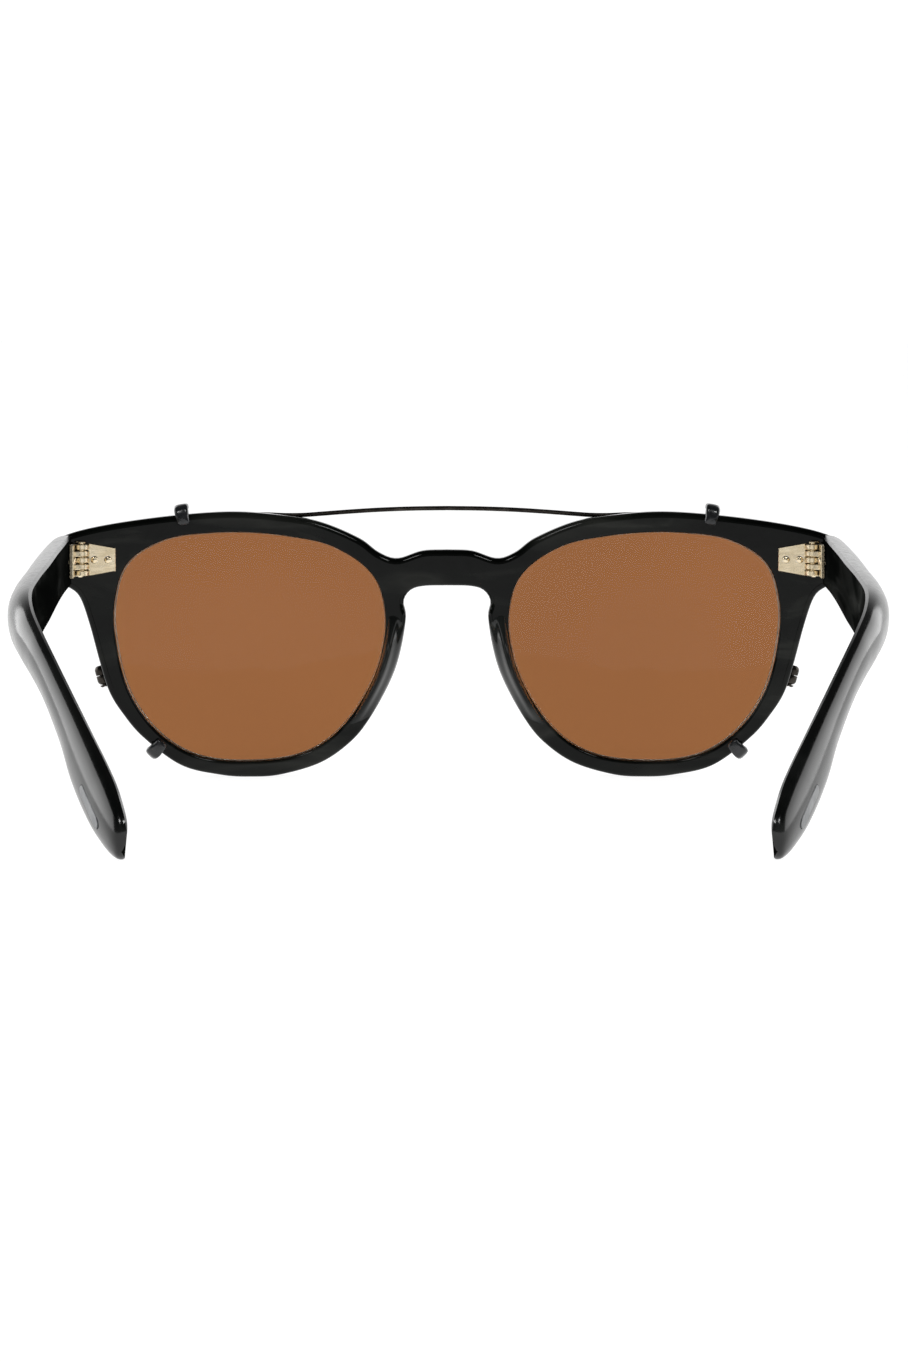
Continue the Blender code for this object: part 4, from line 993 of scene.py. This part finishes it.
def hook_tube(where, route, half_width, half_thickness, twist=0.0, ripple=0.0):
    """A tube of rounded oblong section along a hook's route, with round ends and a ripple if asked for."""
    angle = math.radians(HOOK_ANGLES[where])
    out = np.array([math.sin(angle), 0, math.cos(angle)])
    across = np.array([out[2], 0, -out[0]])
    x, z = HOOK_EDGE_POINTS[where]
    turn = np.arange(36) * math.pi / 18
    square = 2 / 3.2
    wide = np.sign(np.cos(turn)) * np.abs(np.cos(turn)) ** square * half_width
    thick = np.sign(np.sin(turn)) * np.abs(np.sin(turn)) ** square * half_thickness
    distance = np.r_[0, np.cumsum(np.linalg.norm(np.diff(route, axis=0), axis=1))]
    sections = []
    for k, (away, y) in enumerate(route):
        run = route[min(k + 1, len(route) - 1)] - route[max(k - 1, 0)]
        run /= np.linalg.norm(run)
        rise = -run[1] * out + run[0] * np.array([0, 1, 0])
        centre = np.array([x, 0, z]) + away * out + np.array([0, y, 0])
        from_end = min(distance[k], distance[-1] - distance[k])
        close = math.sqrt(1 - max(0, 1 - (from_end + 0.02) / half_thickness) ** 2)
        wave = 1 + ripple * np.sin(2 * turn + twist * 2 * math.pi * distance[k] / distance[-1])
        sections.append(centre + np.outer(wide * close * wave, across) + np.outer(thick * close * wave, rise))
    return loft(sections)


def hooks():
    """The four prongs that hold the clip-on over the edges of the front, and their soft sleeves."""
    for where in HOOK_EDGE_POINTS:
        route = spline(hook_route(where), 96)
        prong = hook_tube(where, route[:-8], HOOK_HALF_WIDTH, HOOK_HALF_THICKNESS)
        sleeved = route[round(SLEEVE_START * len(route)):]
        sleeve = hook_tube(
            where, sleeved, SLEEVE_HALF_WIDTH, SLEEVE_HALF_THICKNESS, SLEEVE_TWISTS, SLEEVE_RIPPLE)
        for name, side in SIDES.items():
            obj = make_mesh(f"hook_{where}_{name}_plated", mirrored(prong, side))
            finish_piece(obj, f"hook_{where}_{name}", "clip_on", "gunmetal", 50)
            obj = make_mesh(f"hook_sleeve_{where}_{name}_soft", mirrored(sleeve, side))
            finish_piece(obj, f"hook_sleeve_{where}_{name}", "clip_on", "black_sleeve", 60)


# ---------------------------------------------------------------- studio


def world_light():
    """Plain white to the camera. The light is even ahead of the spectacles, and dim behind and above them."""
    world = bpy.data.worlds.new("studio")
    world.use_nodes = True
    bpy.context.scene.world = world
    tree = world.node_tree
    coordinates = tree.nodes.new("ShaderNodeTexCoord")
    parts = tree.nodes.new("ShaderNodeSeparateXYZ")
    tree.links.new(coordinates.outputs["Generated"], parts.inputs["Vector"])
    product = tree.nodes.new("ShaderNodeMath")
    product.operation = "MULTIPLY"
    tree.links.new(spread(tree, parts.outputs["Y"], 1.0, 0.12, -0.25, 0.45), product.inputs[0])
    tree.links.new(spread(tree, parts.outputs["Z"], 1.0, 0.08, 0.25, 0.6), product.inputs[1])
    path = tree.nodes.new("ShaderNodeLightPath")
    strength = tree.nodes.new("ShaderNodeMix")
    tree.links.new(path.outputs["Is Camera Ray"], strength.inputs["Factor"])
    tree.links.new(product.outputs["Value"], strength.inputs[2])
    strength.inputs[3].default_value = 1.1
    tree.links.new(strength.outputs[0], tree.nodes["Background"].inputs["Strength"])
    tree.nodes["Background"].inputs["Color"].default_value = (1, 1, 1, 1)


def softbox(name, place, aim, width, height, power):
    """A rectangular area light at a place in the design frame, facing another."""
    light = bpy.data.lights.new(name, "AREA")
    light.shape = "RECTANGLE"
    light.size, light.size_y = width, height
    light.energy = power
    obj = bpy.data.objects.new(name, light)
    obj.location = Vector(place) * MM + ORIGIN
    obj.rotation_euler = (Vector(aim) - Vector(place)).to_track_quat("-Z", "Y").to_euler()
    bpy.context.scene.collection.objects.link(obj)


def floor():
    """The pale floor. It glows almost as white as the background, so that shadows on it stay faint."""
    made, tree, shader = new_material(
        "studio_floor", Specular_IOR_Level=0.1, Emission_Color=(1, 1, 1, 1), Emission_Strength=0.93)
    grain = noise(tree, 40, (1, 1, 1), 2.0)
    tones = [(0.3, (0.19, 0.19, 0.19)), (0.7, (0.21, 0.21, 0.205))]
    tree.links.new(ramp(tree, grain, tones), shader.inputs["Base Color"])
    tree.links.new(spread(tree, grain, 0.6, 0.75), shader.inputs["Roughness"])
    (x0, y0), (x1, y1) = FLOOR_LOW, FLOOR_HIGH
    mesh = make_mesh("studio_floor", ([(x0, y0, 0), (x1, y0, 0), (x1, y1, 0), (x0, y1, 0)], [(0, 1, 2, 3)]))
    mesh.data.materials.append(made)


def camera():
    data = bpy.data.cameras.new("camera")
    data.lens = CAMERA_LENS
    data.clip_end = 50
    obj = bpy.data.objects.new("camera", data)
    obj.location = Vector(CAMERA_PLACE) * MM + ORIGIN
    obj.rotation_euler = (Vector(CAMERA_AIM) - Vector(CAMERA_PLACE)).to_track_quat("-Z", "Y").to_euler()
    bpy.context.scene.collection.objects.link(obj)
    bpy.context.scene.camera = obj


camera()
world_light()
softbox("softbox_left", (450, 1300, 1100), (0, 40, 20), 0.22, 0.22, 3.0)
softbox("softbox_right", (-450, 1300, 1100), (0, 40, 20), 0.22, 0.22, 3.0)
softbox("side_light_left", (900, -250, 220), (55, 60, 20), 1.4, 1.0, 9.5)
softbox("side_light_right", (-900, -250, 220), (-55, 60, 20), 1.4, 1.0, 8.0)
floor()
bpy.context.scene.view_settings.view_transform = "Standard"

acetate_front()
clear = lens(GROOVE_DEPTH, -FRONT_THICKNESS / 2, **CLEAR_LENS)
lenses("clear_lens", *clear, "front", "clear_lens", "clear_lens_edge")
tinted = lens(CLIP_RIM_INNER + CLIP_GROOVE, CLIP_PLANE, **SUN_LENS)
lenses("sun_lens", *tinted, "clip_on", "brown_sun_lens", "sun_lens_edge")
nose_pads()
hinges()
rivets()
temples()
clip_rims()
brow_bar()
closing_barrels()
hooks()
